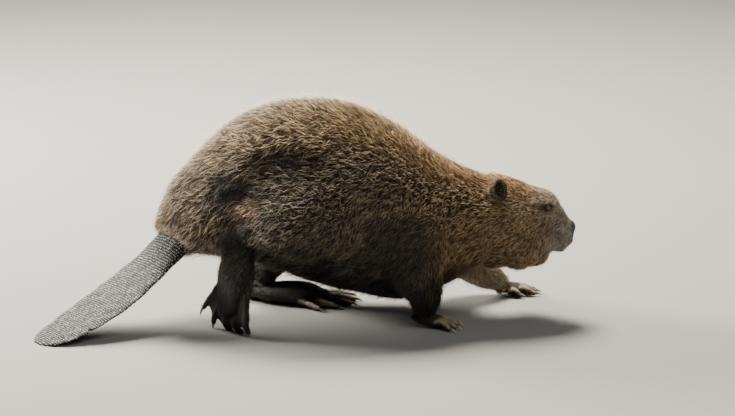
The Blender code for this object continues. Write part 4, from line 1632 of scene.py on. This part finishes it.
SWELLS = (
    Swell(0.43, 0.036, 0.218, (0.009, 0.006, 0.004), 0.0016),  # brow
    Swell(0.4335, 0.042, 0.1985, (0.008, 0.006, 0.004), 0.0008),  # below the eye
    Swell(0.446, 0.033, 0.202, (0.004, 0.005, 0.005), -0.0012),  # in front of the eye
    Swell(0.46, 0.024, 0.142, (0.01, 0.008, 0.01), 0.0022),  # whisker pad
    Swell(0.456, 0.0, 0.19, (0.014, 0.01, 0.008), 0.001),  # bridge of the nose
    Swell(0.392, 0.056, 0.156, (0.02, 0.012, 0.022), 0.0016),  # cheek muscle
    Swell(0.437, 0.0, 0.216, (0.018, 0.026, 0.02), 0.0055),  # forehead
    Swell(-0.01, 0.135, 0.245, (0.062, 0.05, 0.034), 0.01),  # top of the haunch
    Swell(0.0, 0.14, 0.18, (0.07, 0.06, 0.03), 0.004),  # its lower half
)
FOLDS = (
    # mouth
    Fold(
        ((0.479, 0.0, 0.1235), (0.474, 0.013, 0.1215), (0.462, 0.022, 0.119),
         (0.444, 0.028, 0.1215), (0.433, 0.032, 0.128)), 0.0022, 0.003,
    ),
    # split lip
    Fold(((0.486, 0.0, 0.15), (0.485, 0.0, 0.138), (0.478, 0.0, 0.124)), 0.0014, 0.0022),
    # above the haunch, below it and in front of it
    Fold(
        ((0.05, 0.14, 0.3), (0.0, 0.14, 0.31), (-0.045, 0.14, 0.305),
         (-0.09, 0.13, 0.28), (-0.122, 0.12, 0.24)), 0.02, 0.0115, flank=True,
    ),
    Fold(
        ((-0.1, 0.12, 0.165), (-0.06, 0.14, 0.138), (0.0, 0.14, 0.124), (0.05, 0.14, 0.13)),
        0.014, 0.0115, flank=True,
    ),
    Fold(
        ((0.03, 0.14, 0.128), (0.08, 0.14, 0.142), (0.108, 0.14, 0.185), (0.1, 0.14, 0.235)),
        0.017, 0.012, flank=True,
    ),
    # behind the shoulder, and round the neck
    Fold(
        ((0.15, 0.12, 0.1), (0.135, 0.13, 0.15), (0.14, 0.13, 0.2)), 0.015, 0.0045,
        flank=True,
    ),
    Fold(
        ((0.285, 0.0, 0.092), (0.283, 0.05, 0.11), (0.28, 0.09, 0.16), (0.276, 0.08, 0.22)),
        0.012, 0.0035,
    ),
)
FLANK_FROM = 0.055  # how far out from the plane of symmetry the flank begins
FAR = 0.2  # a distance at which no fold is felt
# where the skin lies nearer to the solids: the place, its reach and the share of the coat's depth
SHALLOWS = (
    (NOSE_PAD, 0.016, 0.25), (tuple(EYE), 0.012, 0.35), ((EYE.x, -EYE.y, EYE.z), 0.012, 0.35),
    ((0.462, 0.0, 0.14), 0.02, 0.45),
)
HOCK = (-0.12, -0.1, 0.104)  # where the raised foot joins its leg
FURRED_FOOT_FROM = 0.035  # over the floor; the raised foot's back has hair above this


class Solids:
    """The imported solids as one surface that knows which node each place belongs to."""

    def __init__(self, nodes: list[str]) -> None:
        """Reads the nodes' triangles."""
        points, faces, owners = [], [], []
        for number, node in enumerate(nodes):
            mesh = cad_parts[node].data
            start = len(points)
            points += [vertex.co.copy() for vertex in mesh.vertices]
            faces += [[start + k for k in polygon.vertices] for polygon in mesh.polygons]
            owners += [number] * len(mesh.polygons)
        self.nodes, self.owners = nodes, np.array(owners)
        self.tree = BVHTree.FromPolygons(points, faces)

    def nearest(self, places: Array) -> Array:
        """Returns the number of the node that is nearest to each place."""
        return self.owners[[self.tree.find_nearest(place)[2] for place in places]]


def nearest_on_lines(points: Array, lines: Array) -> Array:
    """Returns each point's distance to the nearest of some places."""
    tree = plant(lines, range(len(lines)))
    return np.array([tree.find(point)[2] for point in points])


@dataclass
class Skin:
    """The one skin of body, head, legs, paws, ears and lids, which lies inside the coat."""

    paws: list[Hand | HindFoot]
    ears: list[Ear]
    eyes: list[Eye]
    voxel: float = 0.0042
    grow: float = 0.0006  # closes the gaps between the solids before they fuse
    fine_from: float = 0.335  # ahead of this, the head, the skin is twice as fine
    finest_from: float = 0.418  # ahead of this, the muzzle, it is finer again
    keep: float = 0.56  # share of the faces that stay once the coat has grown
    solids: Solids = field(default_factory=lambda: Solids(list(PELTS)))

    def body(self) -> Piece:
        """Fuses the furred solids, lays them in by the coat's depth and sculpts them.

        Returns:
            The bare body's form.
        """
        copies = []
        for node in (*FURRED, "nose"):
            copy = bpy.data.objects.new(node + "_copy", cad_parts[node].data.copy())
            bpy.context.scene.collection.objects.link(copy)
            with editing(copy):
                bpy.ops.mesh.remove_doubles(threshold=0.00001)
            write_points(copy, read_points(copy) + read_normals(copy) * self.grow)
            copies.append(copy)
        obj = fuse("skin", copies, self.voxel, 9)
        self.refine(obj, self.fine_from)
        iron(obj, 4)
        self.lay_in(obj)
        self.refine(obj, self.finest_from)
        iron(obj, 2)
        self.sculpt(obj)
        with editing(obj):
            bpy.ops.mesh.quads_convert_to_tris()
        return obj

    def refine(self, obj: Piece, ahead_of: float) -> None:
        """Divides the faces ahead of a place."""
        with editing(obj, read(obj.data.polygons, "center", 3)[:, 0] > at(ahead_of, 0, 0).x):
            bpy.ops.mesh.subdivide(number_cuts=1, smoothness=0.0)

    def lay_in(self, obj: Piece) -> None:
        """Moves the surface inwards by the depth of the coat that grows on it."""
        points, edges = read_points(obj), read_edges(obj)
        depths = np.array([PELTS[node].depth for node in self.solids.nodes])
        depth = spread(depths[self.solids.nearest(points)], edges, 16)
        for place, reach, share in SHALLOWS:
            depth *= 1 - (1 - share) * closeness(points, at(*place), reach)
        write_points(obj, points - read_normals(obj) * depth[:, None])
        iron(obj, 2)

    def sculpt(self, obj: Piece) -> None:
        """Raises the brows and lips and presses in the folds.

        Args:
            obj: The skin.
        """
        points, normals = read_points(obj), read_normals(obj)
        push = np.zeros(len(points))
        for swell in SWELLS:
            for sign in SIDES.values():
                place = at(swell.x, sign * swell.y, swell.z)
                push += swell.push * closeness(points, place, swell.reach)
        local = points - np.array(ORIGIN)
        for fold in FOLDS:
            line = curve_through(fold.points, np.linspace(0, 1, 60))
            folded = local.copy()
            folded[:, 1] = np.abs(folded[:, 1])
            if fold.flank:
                folded[:, 1] = np.where(folded[:, 1] > FLANK_FROM, 0.0, FAR)
                line[:, 1] = 0.0
            push -= fold.depth * bell(nearest_on_lines(folded, line), fold.width)
        write_points(obj, points + normals * push[:, None])

    def build(self, material: Material) -> Piece:
        """Builds the skin.

        Args:
            material: Its finish.

        Returns:
            The finished piece, unwrapped, with its masks as attributes.
        """
        obj = self.body()
        for part in (*self.paws, *self.ears):
            weld(obj, part.build())
        for eye in self.eyes:
            weld(obj, eye.lids())
        self.soften_wrists(obj)
        with editing(obj):
            bpy.ops.mesh.quads_convert_to_tris()
        self.mask(obj)
        with editing(obj):
            bpy.ops.uv.smart_project(angle_limit=math.radians(66), island_margin=0.002)
        obj.data.uv_layers[0].name = "Unwrap"
        return finish_piece(obj, Slot.COAT, material, *PELTS)

    def soften_wrists(self, obj: Piece) -> None:
        """Blends the paws into the legs.

        Args:
            obj: The skin.
        """
        points, edges = read_points(obj), read_edges(obj)
        even = spread(points, edges, 24)
        share = np.zeros(len(points))
        for paw in self.paws:
            joint, reach = at(*HOCK), 0.02
            if isinstance(paw, Hand):
                joint, reach = paw.place(-0.004, 0, 0.032), 0.013
            elif paw.stub:
                joint = paw.stub[0][0]
            share = np.maximum(share, closeness(points, joint, reach))
        points += (even - points) * np.clip(1.4 * share, 0, 1)[:, None]
        write_points(obj, keep_above(points))

    def mask(self, obj: Piece) -> None:
        """Keeps where the skin is bare, pale and dark.

        Args:
            obj: The skin.
        """
        points, edges, normals = read_points(obj), read_edges(obj), read_normals(obj)
        names = np.array(self.solids.nodes)[self.solids.nearest(points)]
        paw = np.char.startswith(names, "hand") | np.char.startswith(names, "foot")
        raised = names == "foot_right"
        back = raised & (points[:, 2] > FURRED_FOOT_FROM) & (normals @ SOLE_WAY < SOLE_EDGE)
        # the raised right foot is made near-black: its dark leather and painted shade
        bare, dark = spread(paw & ~back, edges, 6), spread(0.9 * raised, edges, 6)
        for eye in self.eyes:
            near = closeness(points, eye.centre(), 0.0058)
            bare, dark = np.maximum(bare, np.clip(near * 1.8, 0, 1)), np.maximum(dark, near)
        near = closeness(points, at(0.476, 0, 0.158), 0.0115)  # round the nose pad
        bare = np.maximum(bare, np.clip(near * 1.6, 0, 1))
        for ear in self.ears:
            hollow = spread(ear.hollow(points, normals), edges, 2)
            bare, dark = np.maximum(bare, hollow * 0.9), np.maximum(dark, hollow * 0.8)
        # pale: worn toe ridges, with painted highlight where they face up
        pale = np.zeros(len(points))
        for paw_form in self.paws:
            lines = [line[0] for line in paw_form.lines()]
            places = np.vstack([curve_through(line, np.linspace(0.1, 1, 40)) for line in lines])
            close = paw & (lengths(points - places.mean(0)) < 0.2)
            away = nearest_on_lines(points[close], places)
            pale[close] = np.maximum(pale[close], np.clip(1.6 - away / 0.0052, 0, 1))
        pale *= np.clip(normals[:, 2] + 0.35, 0, 1)
        for name, values in (("bare", bare), ("dark", dark), ("pale", pale)):
            store(obj, name, values)


# ---------------- coat
@dataclass(frozen=True)
class Lie:
    """Which way the coat lies near a place; side is 1, -1, or 0 for both flanks alike."""

    place: Triple
    way: Triple
    reach: float = 0.045
    side: int = 0


LIES = (
    Lie((0.474, 0.0, 0.185), (-1.0, 0.0, 0.5), 0.02),
    Lie((0.45, 0.02, 0.205), (-1.0, 0.1, 0.35), 0.02),
    Lie((0.425, 0.0, 0.228), (-1.0, 0.0, 0.2), 0.03),
    Lie((0.365, 0.0, 0.255), (-1.0, 0.0, 0.05), 0.04),
    Lie((0.43, 0.043, 0.222), (-1.0, 0.1, 0.25), 0.012),
    Lie((0.425, 0.045, 0.195), (-1.0, 0.1, -0.35), 0.014),
    Lie((0.468, 0.026, 0.158), (-0.8, 0.3, -0.1), 0.012),
    Lie((0.462, 0.028, 0.14), (-0.6, 0.3, -0.8), 0.014),
    Lie((0.446, 0.036, 0.165), (-0.6, 0.1, -0.85), 0.016),
    Lie((0.425, 0.05, 0.15), (-0.75, 0.1, -0.75), 0.025),
    Lie((0.385, 0.07, 0.16), (-0.9, 0.0, -0.5), 0.035),
    Lie((0.405, 0.045, 0.105), (-0.95, 0.1, -0.25), 0.025),
    Lie((0.43, 0.01, 0.1), (-1.0, 0.0, -0.1), 0.02),
    Lie((0.35, 0.03, 0.095), (-1.0, 0.0, -0.1), 0.03),
    Lie((0.345, 0.06, 0.245), (-0.7, 0.25, 0.55), 0.014),
    Lie((0.3, 0.085, 0.19), (-0.85, 0.0, -0.45)),
    Lie((0.28, 0.0, 0.27), (-1.0, 0.0, 0.15)),
    Lie((0.2, 0.125, 0.21), (-0.75, 0.0, -0.6)),
    Lie((0.23, 0.06, 0.06), (-0.9, 0.0, -0.35)),
    Lie((0.17, 0.02, 0.33), (-1.0, 0.0, 0.25)),
    Lie((0.05, 0.0, 0.4), (-1.0, 0.0, 0.05)),
    Lie((0.08, 0.13, 0.3), (-0.9, 0.0, -0.3)),
    Lie((0.1, 0.15, 0.2), (-0.75, 0.0, -0.6)),
    Lie((0.06, 0.06, 0.06), (-1.0, 0.0, 0.0), 0.07),
    Lie((-0.06, 0.11, 0.3), (-0.8, 0.0, -0.5)),
    Lie((0.01, 0.16, 0.21), (-0.8, 0.0, -0.45)),
    Lie((0.05, 0.14, 0.15), (-0.95, 0.0, -0.15), 0.03),
    Lie((-0.08, 0.13, 0.2), (-0.9, 0.0, -0.35), 0.03),
    Lie((-0.12, 0.0, 0.36), (-0.95, 0.0, -0.2)),
    Lie((-0.18, 0.07, 0.28), (-0.75, 0.0, -0.65)),
    Lie((-0.17, 0.1, 0.2), (-0.6, 0.0, -0.8)),
    Lie((-0.24, 0.04, 0.2), (-0.5, 0.0, -0.85)),
    Lie((-0.255, 0.03, 0.14), (-0.8, -0.05, -0.6), 0.03),
    Lie((-0.18, 0.04, 0.11), (-0.95, 0.0, -0.3)),
    # the right legs: the hock is raised, the forearm stands upright
    Lie((-0.095, 0.115, 0.18), (-0.75, 0.0, -0.6), 0.02, -1),
    Lie((-0.13, 0.11, 0.15), (-0.25, 0.0, -0.95), 0.025, -1),
    Lie((-0.135, 0.11, 0.08), (0.05, 0.0, -1.0), 0.03, -1),
    Lie((-0.115, 0.11, 0.015), (0.7, -0.7, -0.15), 0.02, -1),
    Lie((0.2, 0.11, 0.13), (-0.3, 0.0, -0.95), 0.03, -1),
    Lie((0.213, 0.092, 0.06), (0.05, 0.0, -1.0), 0.03, -1),
    Lie((0.24, 0.086, 0.012), (0.95, 0.0, -0.3), 0.018, -1),
    # the left legs: the sole is flat, the forearm reaches ahead
    Lie((0.03, 0.12, 0.13), (-0.7, 0.0, -0.7), 0.03, 1),
    Lie((-0.04, 0.11, 0.085), (-0.7, 0.0, -0.7), 0.03, 1),
    Lie((-0.075, 0.095, 0.05), (0.0, 0.0, -1.0), 0.02, 1),
    Lie((-0.03, 0.09, 0.02), (1.0, -0.2, -0.2), 0.03, 1),
    Lie((0.05, 0.07, 0.012), (1.0, -0.2, -0.1), 0.04, 1),
    Lie((0.262, 0.105, 0.11), (0.3, 0.1, -0.95), 0.03, 1),
    Lie((0.322, 0.112, 0.052), (0.65, 0.1, -0.75), 0.03, 1),
    Lie((0.385, 0.12, 0.016), (0.95, 0.1, -0.25), 0.02, 1),
)


@dataclass(frozen=True)
class Trim:
    """A place where the coat is shorter or thinner than around it."""

    place: Triple
    reach: float
    length: float
    density: float


TRIMS = (
    Trim((0.474, 0.0, 0.165), 0.016, 0.42, 1.3),  # bridge and wings of the nose
    Trim((0.466, 0.022, 0.138), 0.015, 0.5, 1.2),  # upper lip
    Trim((0.44, 0.036, 0.195), 0.018, 0.62, 1.2),  # before the eye
    Trim((EYE.x, EYE.y + 0.004, EYE.z), 0.0085, 0.36, 0.7),  # round the eye
    Trim((0.43, 0.0, 0.112), 0.02, 0.75, 1.0),  # chin
)


# the slow swirls of the coat: each wave's way through space, and where it starts
WAVES = (
    ((61.0, 43.0, 57.0), 0.0), ((-37.0, 71.0, 29.0), 2.0),
    ((190.0, 120.0, -170.0), 1.0), ((-150.0, 90.0, 230.0), 0.0),
)
# the piece of the coat that grows on each solid; the trunk's is split further
TRACTS = {
    "trunk": "loin", "tail_collar": "rump", "chest": "shoulder", "neck": "neck",
    "head": "head", "lower_jaw": "head", "ear_left": "head", "ear_right": "head",
    "thigh_left": "haunch", "thigh_right": "haunch", "shank_left": "shank", "hock_right": "shank",
    "foot_left": "shank", "foot_right": "shank", "foreleg_left": "foreleg",
    "foreleg_right": "foreleg", "hand_left": "foreleg", "hand_right": "foreleg",
}
RUMP_FROM, BELLY_FROM = -0.06, 0.13  # the rump lies behind this and the belly below that


@dataclass
class Tufts:
    """Where tufts grow and how: one row of each array for each tuft."""

    place: Array
    normal: Array
    way: Array
    length: Array
    lift: Array
    width: Array
    tone: Array
    unwrap: Array
    owner: Array
    layer: Layer


@dataclass
class Coat:
    """The fur: solid tufts in pieces that cover the skin."""

    skin: Piece
    solids: Solids
    ears: list[Ear]
    vary_length: tuple[float, float] = (0.72, 1.22)  # the least and greatest share of a mean
    vary_lift: tuple[float, float] = (0.6, 1.3)
    vary_width: tuple[float, float] = (0.65, 1.25)
    clump: float = 2.4  # tufts that share a lock
    patch: float = 0.003  # a tuft's patch on the unwrap
    sink: float = 0.0008  # how deep a tuft's root lies in the skin

    def grow(self, layer: Layer) -> Tufts:
        """Scatters the roots evenly over the furred skin and sets how each tuft lies.

        Args:
            layer: The layer of the coat that grows.

        Returns:
            Its tufts.
        """
        rng = np.random.default_rng(layer.seed)
        mesh, skin = self.skin.data, self.skin
        points, normals, edges = read_points(skin), read_normals(skin), read_edges(skin)
        corners = read(mesh.polygons, "vertices", 3, np.int32)
        owner = self.solids.nearest(points)
        table = np.array([
            (pelt.length * layer.length, pelt.lift * layer.lift, pelt.width * layer.width,
             pelt.density * layer.density, pelt.stray)
            for pelt in (PELTS[node] for node in self.solids.nodes)
        ])
        facts = spread(table[owner], edges, 18)
        facts = self.trim(facts, points, normals, np.array(self.solids.nodes)[owner])
        sides = points[corners]
        area = lengths(np.cross(sides[:, 1] - sides[:, 0], sides[:, 2] - sides[:, 0])) / 2
        weight = np.cumsum(area * facts[corners, 3].mean(1))
        count = int(weight[-1])
        picks = (np.arange(count) + rng.uniform(0, 1, count)) / count * weight[-1]
        face = np.minimum(np.searchsorted(weight, picks), len(corners) - 1)
        share = np.sort(rng.uniform(0, 1, (count, 2)), axis=1)
        share = np.stack([share[:, 0], share[:, 1] - share[:, 0], 1 - share[:, 1]], axis=1)

        def blend(values: Array) -> Array:
            """Returns the values at the roots from those at the corners."""
            return (values[corners[face]] * share[:, :, None]).sum(1)

        uv = read(mesh.uv_layers["Unwrap"].data, "uv", 2).reshape(-1, 3, 2)
        unwrap = (uv[face] * share[:, :, None]).sum(1)
        place, normal, facts = blend(points), unit(blend(normals)), blend(facts)
        way = self.way(place, normal, facts[:, 4], rng)
        low, high = layer.tones
        tone = low + (high - low) * rng.beta(0.5, 1.1, count)
        length = facts[:, 0] * rng.uniform(*self.vary_length, count)
        lift = np.radians(facts[:, 1]) * rng.uniform(*self.vary_lift, count)
        width = facts[:, 2] * rng.uniform(*self.vary_width, count)
        nodes = owner[corners[face, 0]]
        return Tufts(place, normal, way, length, lift, width, tone, unwrap, nodes, layer)

    def trim(self, facts: Array, points: Array, normals: Array, names: Array) -> Array:
        """Shortens and thins the coat on the face, in the ears, on soles and round the nose.

        Args:
            facts: Length, lift, width, density and stray for each vertex of the skin.
            points: The vertices' places.
            normals: Their normals.
            names: The node that each belongs to.

        Returns:
            The trimmed numbers.
        """
        facts = facts.copy()
        for trim in TRIMS:
            x, y, z = trim.place
            for sign in SIDES.values():
                near = closeness(points, at(x, sign * y, z), trim.reach)
                facts[:, 0] *= 1 - (1 - trim.length) * near
                facts[:, 2] *= 1 - (1 - max(trim.length, 0.7)) * near
                facts[:, 3] *= 1 + (trim.density - 1) * near
        for ear in self.ears:
            hollow = ear.hollow(points, normals)
            facts[hollow, 3] *= 0.15
            facts[hollow, 0] *= 0.8
        flat, raised = names == "foot_left", names == "foot_right"
        facts[np.char.startswith(names, "hand") & (normals[:, 2] < 0.1), 3] = 0
        facts[flat & (normals[:, 2] < -0.35), 3] = 0
        local = points - np.array(ORIGIN)
        heel = np.clip((local[:, 2] - 0.07) / 0.022, 0, 1)
        facts[raised, 3] *= np.where(normals @ SOLE_WAY > SOLE_EDGE, heel, 1.0)[raised]
        facts[raised & (local[:, 2] < 0.03), 3] *= 0.15
        facts[flat, 3] *= np.clip((0.035 - local[flat, 0]) / 0.05, 0.12, 1)
        facts[self.attribute("bare") > 0.97, 3] *= 0.8
        facts[(self.attribute("dark") > 0.35) & (names == "head"), 3] = 0
        nose = lengths((points - np.array(at(*NOSE_PAD))) / (0.015, 0.0196, 0.0168))
        facts[nose < 1.04, 3] = 0
        return facts

    def attribute(self, name: str) -> Array:
        """Returns one of the skin's masks."""
        return read(self.skin.data.attributes[name].data, "value", 1)[:, 0]

    def way(
        self, place: Array, normal: Array, stray: Array, rng: np.random.Generator
    ) -> Array:
        """Returns the direction in which each tuft lies, flat on the skin.

        Args:
            place: The tufts' places.
            normal: The skin's normals there.
            stray: How far each tuft may wander.
            rng: The source of chance.

        Returns:
            One direction for each tuft.
        """
        total = np.zeros_like(place)
        for lie in LIES:
            for sign in (lie.side,) if lie.side else SIDES.values():
                x, y, z = lie.place
                away = lengths(place - np.array(at(x, sign * y, z)))
                share = np.exp(-0.5 * (away / lie.reach) ** 2) + 1e-6 / (away + 0.01)
                total += np.outer(share, (lie.way[0], sign * lie.way[1], lie.way[2]))
        flat = unit(total - normal * (total * normal).sum(1)[:, None])
        cross = np.cross(normal, flat)
        broad, slant, fine, steep = (np.sin(place @ np.array(way) + start) for way, start in WAVES)
        phase = (broad + slant) + (fine + steep)
        angle = (0.28 * phase + rng.normal(0, 1, len(place))) * stray
        return flat * np.cos(angle)[:, None] + cross * np.sin(angle)[:, None]

    def build(self, material: Material) -> list[Piece]:
        """Builds the coat in pieces by the solids that they cover.

        Args:
            material: The tufts' finish.

        Returns:
            The finished pieces.
        """
        layers = []
        for layer in LAYERS:
            tufts = self.grow(layer)
            layers.append((tufts, self.lines(tufts), self.piece_of(tufts)))
        made = []
        for name in sorted(set(layers[0][2])):
            parts = []
            for tufts, lines, piece in layers:
                picked = np.flatnonzero(piece == name)
                parts.append(self.strands(name, tufts, lines[:, picked], picked))
            slot = Slot.HEAD if "head" in name else Slot.COAT
            made.append(finish_piece(join(name, parts), slot, material))
        return made

    def lines(self, tufts: Tufts) -> Array:
        """Returns each tuft's root, middle and tip, drawn together in locks.

        Args:
            tufts: The tufts.

        Returns:
            The three places of each tuft.
        """
        rng = np.random.default_rng(SEED + 1)
        across = np.cross(tufts.way, tufts.normal)
        reach, lift = tufts.length[:, None], tufts.lift[:, None]
        bow = rng.normal(0, tufts.layer.curl, len(lift))[:, None]
        root = tufts.place - tufts.normal * self.sink
        rising = tufts.way * np.cos(lift) + tufts.normal * np.sin(lift)
        middle = root + reach * 0.5 * (rising + across * bow)
        late = lift * rng.uniform(0.15, 0.65, len(lift))[:, None]
        drooping = tufts.way * np.cos(late) + tufts.normal * np.sin(late)
        tip = middle + reach * 0.5 * (drooping - across * bow)
        seeds = rng.choice(len(root), int(len(root) / self.clump), replace=False)
        tree = plant(tufts.place[seeds], seeds)
        leader = np.array([tree.find(place)[1] for place in tufts.place])
        pull = rng.uniform(0.0, 0.38, len(leader))[:, None]
        tip += (tip[leader] - tip) * pull
        middle += (middle[leader] - middle) * pull * 0.35
        tufts.tone = 0.8 * tufts.tone + 0.2 * tufts.tone[leader]
        return np.stack([root, keep_above(middle, 0.0014), keep_above(tip, 0.0004)])

    def piece_of(self, tufts: Tufts) -> Array:
        """Returns the name of the piece that each tuft belongs to.

        Args:
            tufts: The tufts.

        Returns:
            One name for each.
        """
        node = np.array(self.solids.nodes)[tufts.owner]
        local = tufts.place - np.array(ORIGIN)
        tract = np.array([TRACTS[name] for name in self.solids.nodes])[tufts.owner].astype("<U8")
        tract[(node == "trunk") & (local[:, 0] < RUMP_FROM)] = "rump"
        tract[(node == "trunk") & (local[:, 2] < BELLY_FROM)] = "belly"
        side = np.where(local[:, 1] > 0, "_left", "_right")
        return np.char.add(np.char.add("coat_", tract), side)

    def strands(self, name: str, tufts: Tufts, lines: Array, picked: Array) -> Piece:
        """Builds the solid tufts of one piece.

        Args:
            name: The piece's name.
            tufts: All the tufts.
            lines: The root, middle and tip of those in this piece.
            picked: Their numbers.

        Returns:
            The mesh, with its patches on the unwrap and the attributes that the finish reads.
        """
        root, middle, tip = lines
        count = len(root)
        normal, width = tufts.normal[picked], tufts.width[picked][:, None]
        ahead = unit(tip - root)
        across = unit(np.cross(ahead, normal))
        up = np.cross(across, ahead)
        base = middle if tufts.layer.spindle else root
        half, rise = across * width * 0.5, up * width * 0.42
        ring = [base - half, base + half, base + rise]
        ends = [tip, root] if tufts.layer.spindle else [tip]
        points = keep_above(np.stack([*ring, *ends], axis=1).reshape(-1, 3), 0.0002)
        sides = [(0, 1), (1, 2), (2, 0)]
        faces = [(a, b, 3) for a, b in sides]
        faces += [(b, a, 4) for a, b in sides] if tufts.layer.spindle else [(0, 2, 1)]
        faces, size = np.array(faces), len(ring) + len(ends)
        corners = (faces[None] + size * np.arange(count)[:, None, None]).reshape(-1, 3)
        obj = make_object(name, points, corners)
        patch = np.array([(-0.5, -0.1), (0.5, -0.1), (0.0, 0.1), (0.0, 0.5), (0.0, -0.5)])
        unwrap = tufts.unwrap[picked][:, None] + patch[faces.ravel()][None] * self.patch
        layer = obj.data.uv_layers.new(name="OFBake")
        layer.data.foreach_set("uv", np.clip(unwrap, 0, 1).astype(np.float32).ravel())
        along = (0.5, 0.5, 0.5, 1.0, 0.0) if tufts.layer.spindle else (0.0, 0.0, 0.0, 1.0)
        store(obj, "along", np.tile(along, count))
        store(obj, "tone", np.repeat(tufts.tone[picked], size))
        store(obj, "root_place", np.repeat(tufts.place[picked], size, axis=0))
        return obj


@dataclass
class Whiskers:
    """The stiff hairs of the upper lip."""

    rows: int = 3
    columns: int = 4
    length: float = 0.038
    radius: float = 0.00025
    taper: tuple[float, ...] = (1.0, 0.85, 0.6, 0.25)
    steps: tuple[float, ...] = (0.0, 0.35, 0.7, 1.0)

    def build(self, side: str, material: Material) -> Piece:
        """Builds one side's whiskers as solid tapered hairs.

        Args:
            side: The side of the head.
            material: The hairs' finish.

        Returns:
            The finished piece.
        """
        rng = np.random.default_rng(SEED + SIDES[side])
        sign, hairs = SIDES[side], []
        for row in range(self.rows):
            for column in range(self.columns):
                base = at(0.47 - 0.005 * column, 0, 0.15 - 0.0055 * row)
                base.y = ORIGIN.y + sign * (0.0235 + 0.0017 * column - 0.0012 * row)
                out = Vector((-0.35 - 0.1 * column, sign * 1.0, 0.1 - 0.22 * row)).normalized()
                out += Vector(rng.uniform(-0.12, 0.12, 3))
                reach = self.length * rng.uniform(0.6, 1.0) * (0.75 + 0.08 * column)
                droop = Vector((-0.25, 0, -0.35)) * reach
                path = [base + out * reach * t + droop * t**2 for t in self.steps]
                radii = [self.radius * k for k in self.taper]
                hair = sweep("hair", path, radii, Vector((0, 0, 1)), 1.0, 5, 10)
                away = lengths(read_points(hair) - np.array(base))
                store(hair, "along", np.clip(away / reach, 0, 1))
                hairs.append(hair)
        return finish_piece(join(f"whiskers_{side}", hairs), Slot.HEAD, material)


# ---------------- studio
@dataclass
class Studio:
    """A pale floor, soft light and a camera low beside the animal's right flank."""

    distance: float = 4.0
    elevation: float = 14.0
    target: Vector = field(default_factory=lambda: at(0.1125, 0.0, 0.197))
    sensor: float = 36.0
    field_width: float = 1.323  # the width of what the camera sees at the target
    lamps: tuple[tuple[str, tuple, float, float, tuple], ...] = (
        # name, place from the target, size, power, colour
        ("key", (-0.38, 2.0, 3.3), 1.4, 800.0, (1.0, 0.94, 0.84)),
        ("front", (1.2, -2.3, 3.2), 2.2, 76.0, (1.0, 0.98, 0.95)),
        ("rear", (-3.0, 1.4, 1.3), 1.2, 560.0, (1.0, 0.96, 0.88)),
    )
    sky: Colour = (226, 232, 240)
    sky_strength: float = 0.15

    def build(self, finish: FloorFinish) -> None:
        """Sets up floor, lights and camera.

        Args:
            finish: The floor's finish.
        """
        self.floor(finish)
        for lamp in self.lamps:
            self.lamp(*lamp)
        world = bpy.data.worlds.new("studio")
        world.use_nodes = True
        background = world.node_tree.nodes["Background"].inputs
        background["Color"].default_value = linear(self.sky)
        background["Strength"].default_value = self.sky_strength
        bpy.context.scene.world = world
        self.camera()

    def floor(self, finish: FloorFinish) -> None:
        """Lays a floor that fills the view."""
        add = bpy.ops.mesh.primitive_circle_add
        floor = new_primitive(add, "floor", vertices=96, radius=30.0, fill_type="NGON")
        floor.data.materials.append(finish.build())

    def lamp(self, name: str, place: tuple, size: float, power: float, colour: tuple) -> None:
        """Hangs a soft lamp that shines on the animal.

        Args:
            name: Its name.
            place: Its place from the target.
            size: The width of its face, in metres.
            power: Its power, in watts.
            colour: The light's red, green and blue.
        """
        lamp = bpy.data.lights.new(name, "AREA")
        lamp.energy, lamp.size, lamp.color = power, size, colour
        self.aim(name, lamp, Vector(place))

    def aim(self, name: str, data: bpy.types.ID, place: Vector) -> Piece:
        """Stands a lamp or camera at a place from the target, looking at it.

        Args:
            name: The object's name.
            data: The lamp or the camera.
            place: Its place from the target.

        Returns:
            The new object.
        """
        obj = bpy.data.objects.new(name, data)
        obj.location = self.target + place
        obj.rotation_euler = (-place).to_track_quat("-Z", "Y").to_euler()
        bpy.context.scene.collection.objects.link(obj)
        return obj

    def camera(self) -> None:
        """Places the camera."""
        camera = bpy.data.cameras.new("camera")
        camera.sensor_width = self.sensor
        camera.lens = self.sensor * self.distance / self.field_width
        steep = math.radians(self.elevation)
        back = Vector((0, -math.cos(steep), math.sin(steep)))
        bpy.context.scene.camera = self.aim("camera", camera, back * self.distance)


def main() -> None:
    """Builds the model piece by piece, and its studio."""
    logging.basicConfig(level=logging.INFO, format="%(message)s")
    markings, grain = Markings().build(), grain_group()
    fur = FurFinish(markings).build()
    Tail().build(ScaleFinish(grain).build())
    eyes = [Eye(side) for side in SIDES]
    eye_finish = EyeFinish().build()
    for eye in eyes:
        eye.build(eye_finish)
    Nose().build(NoseFinish(grain).build())
    ears = [Ear(side) for side in SIDES]
    paws = build_paws()
    horn = ClawFinish().build()
    for paw in paws:
        for claw in paw.claws():
            claw.build(horn)
    skin = Skin(paws, ears, eyes)
    skin_piece = skin.build(SkinFinish(markings, grain).build())
    Coat(skin_piece, skin.solids, ears).build(fur)
    apply_modifier(skin_piece, "DECIMATE", ratio=skin.keep)
    whisker = WhiskerFinish().build()
    for side in SIDES:
        Whiskers().build(side, whisker)
    Studio().build(FloorFinish())


if __name__ == "__main__":
    main()
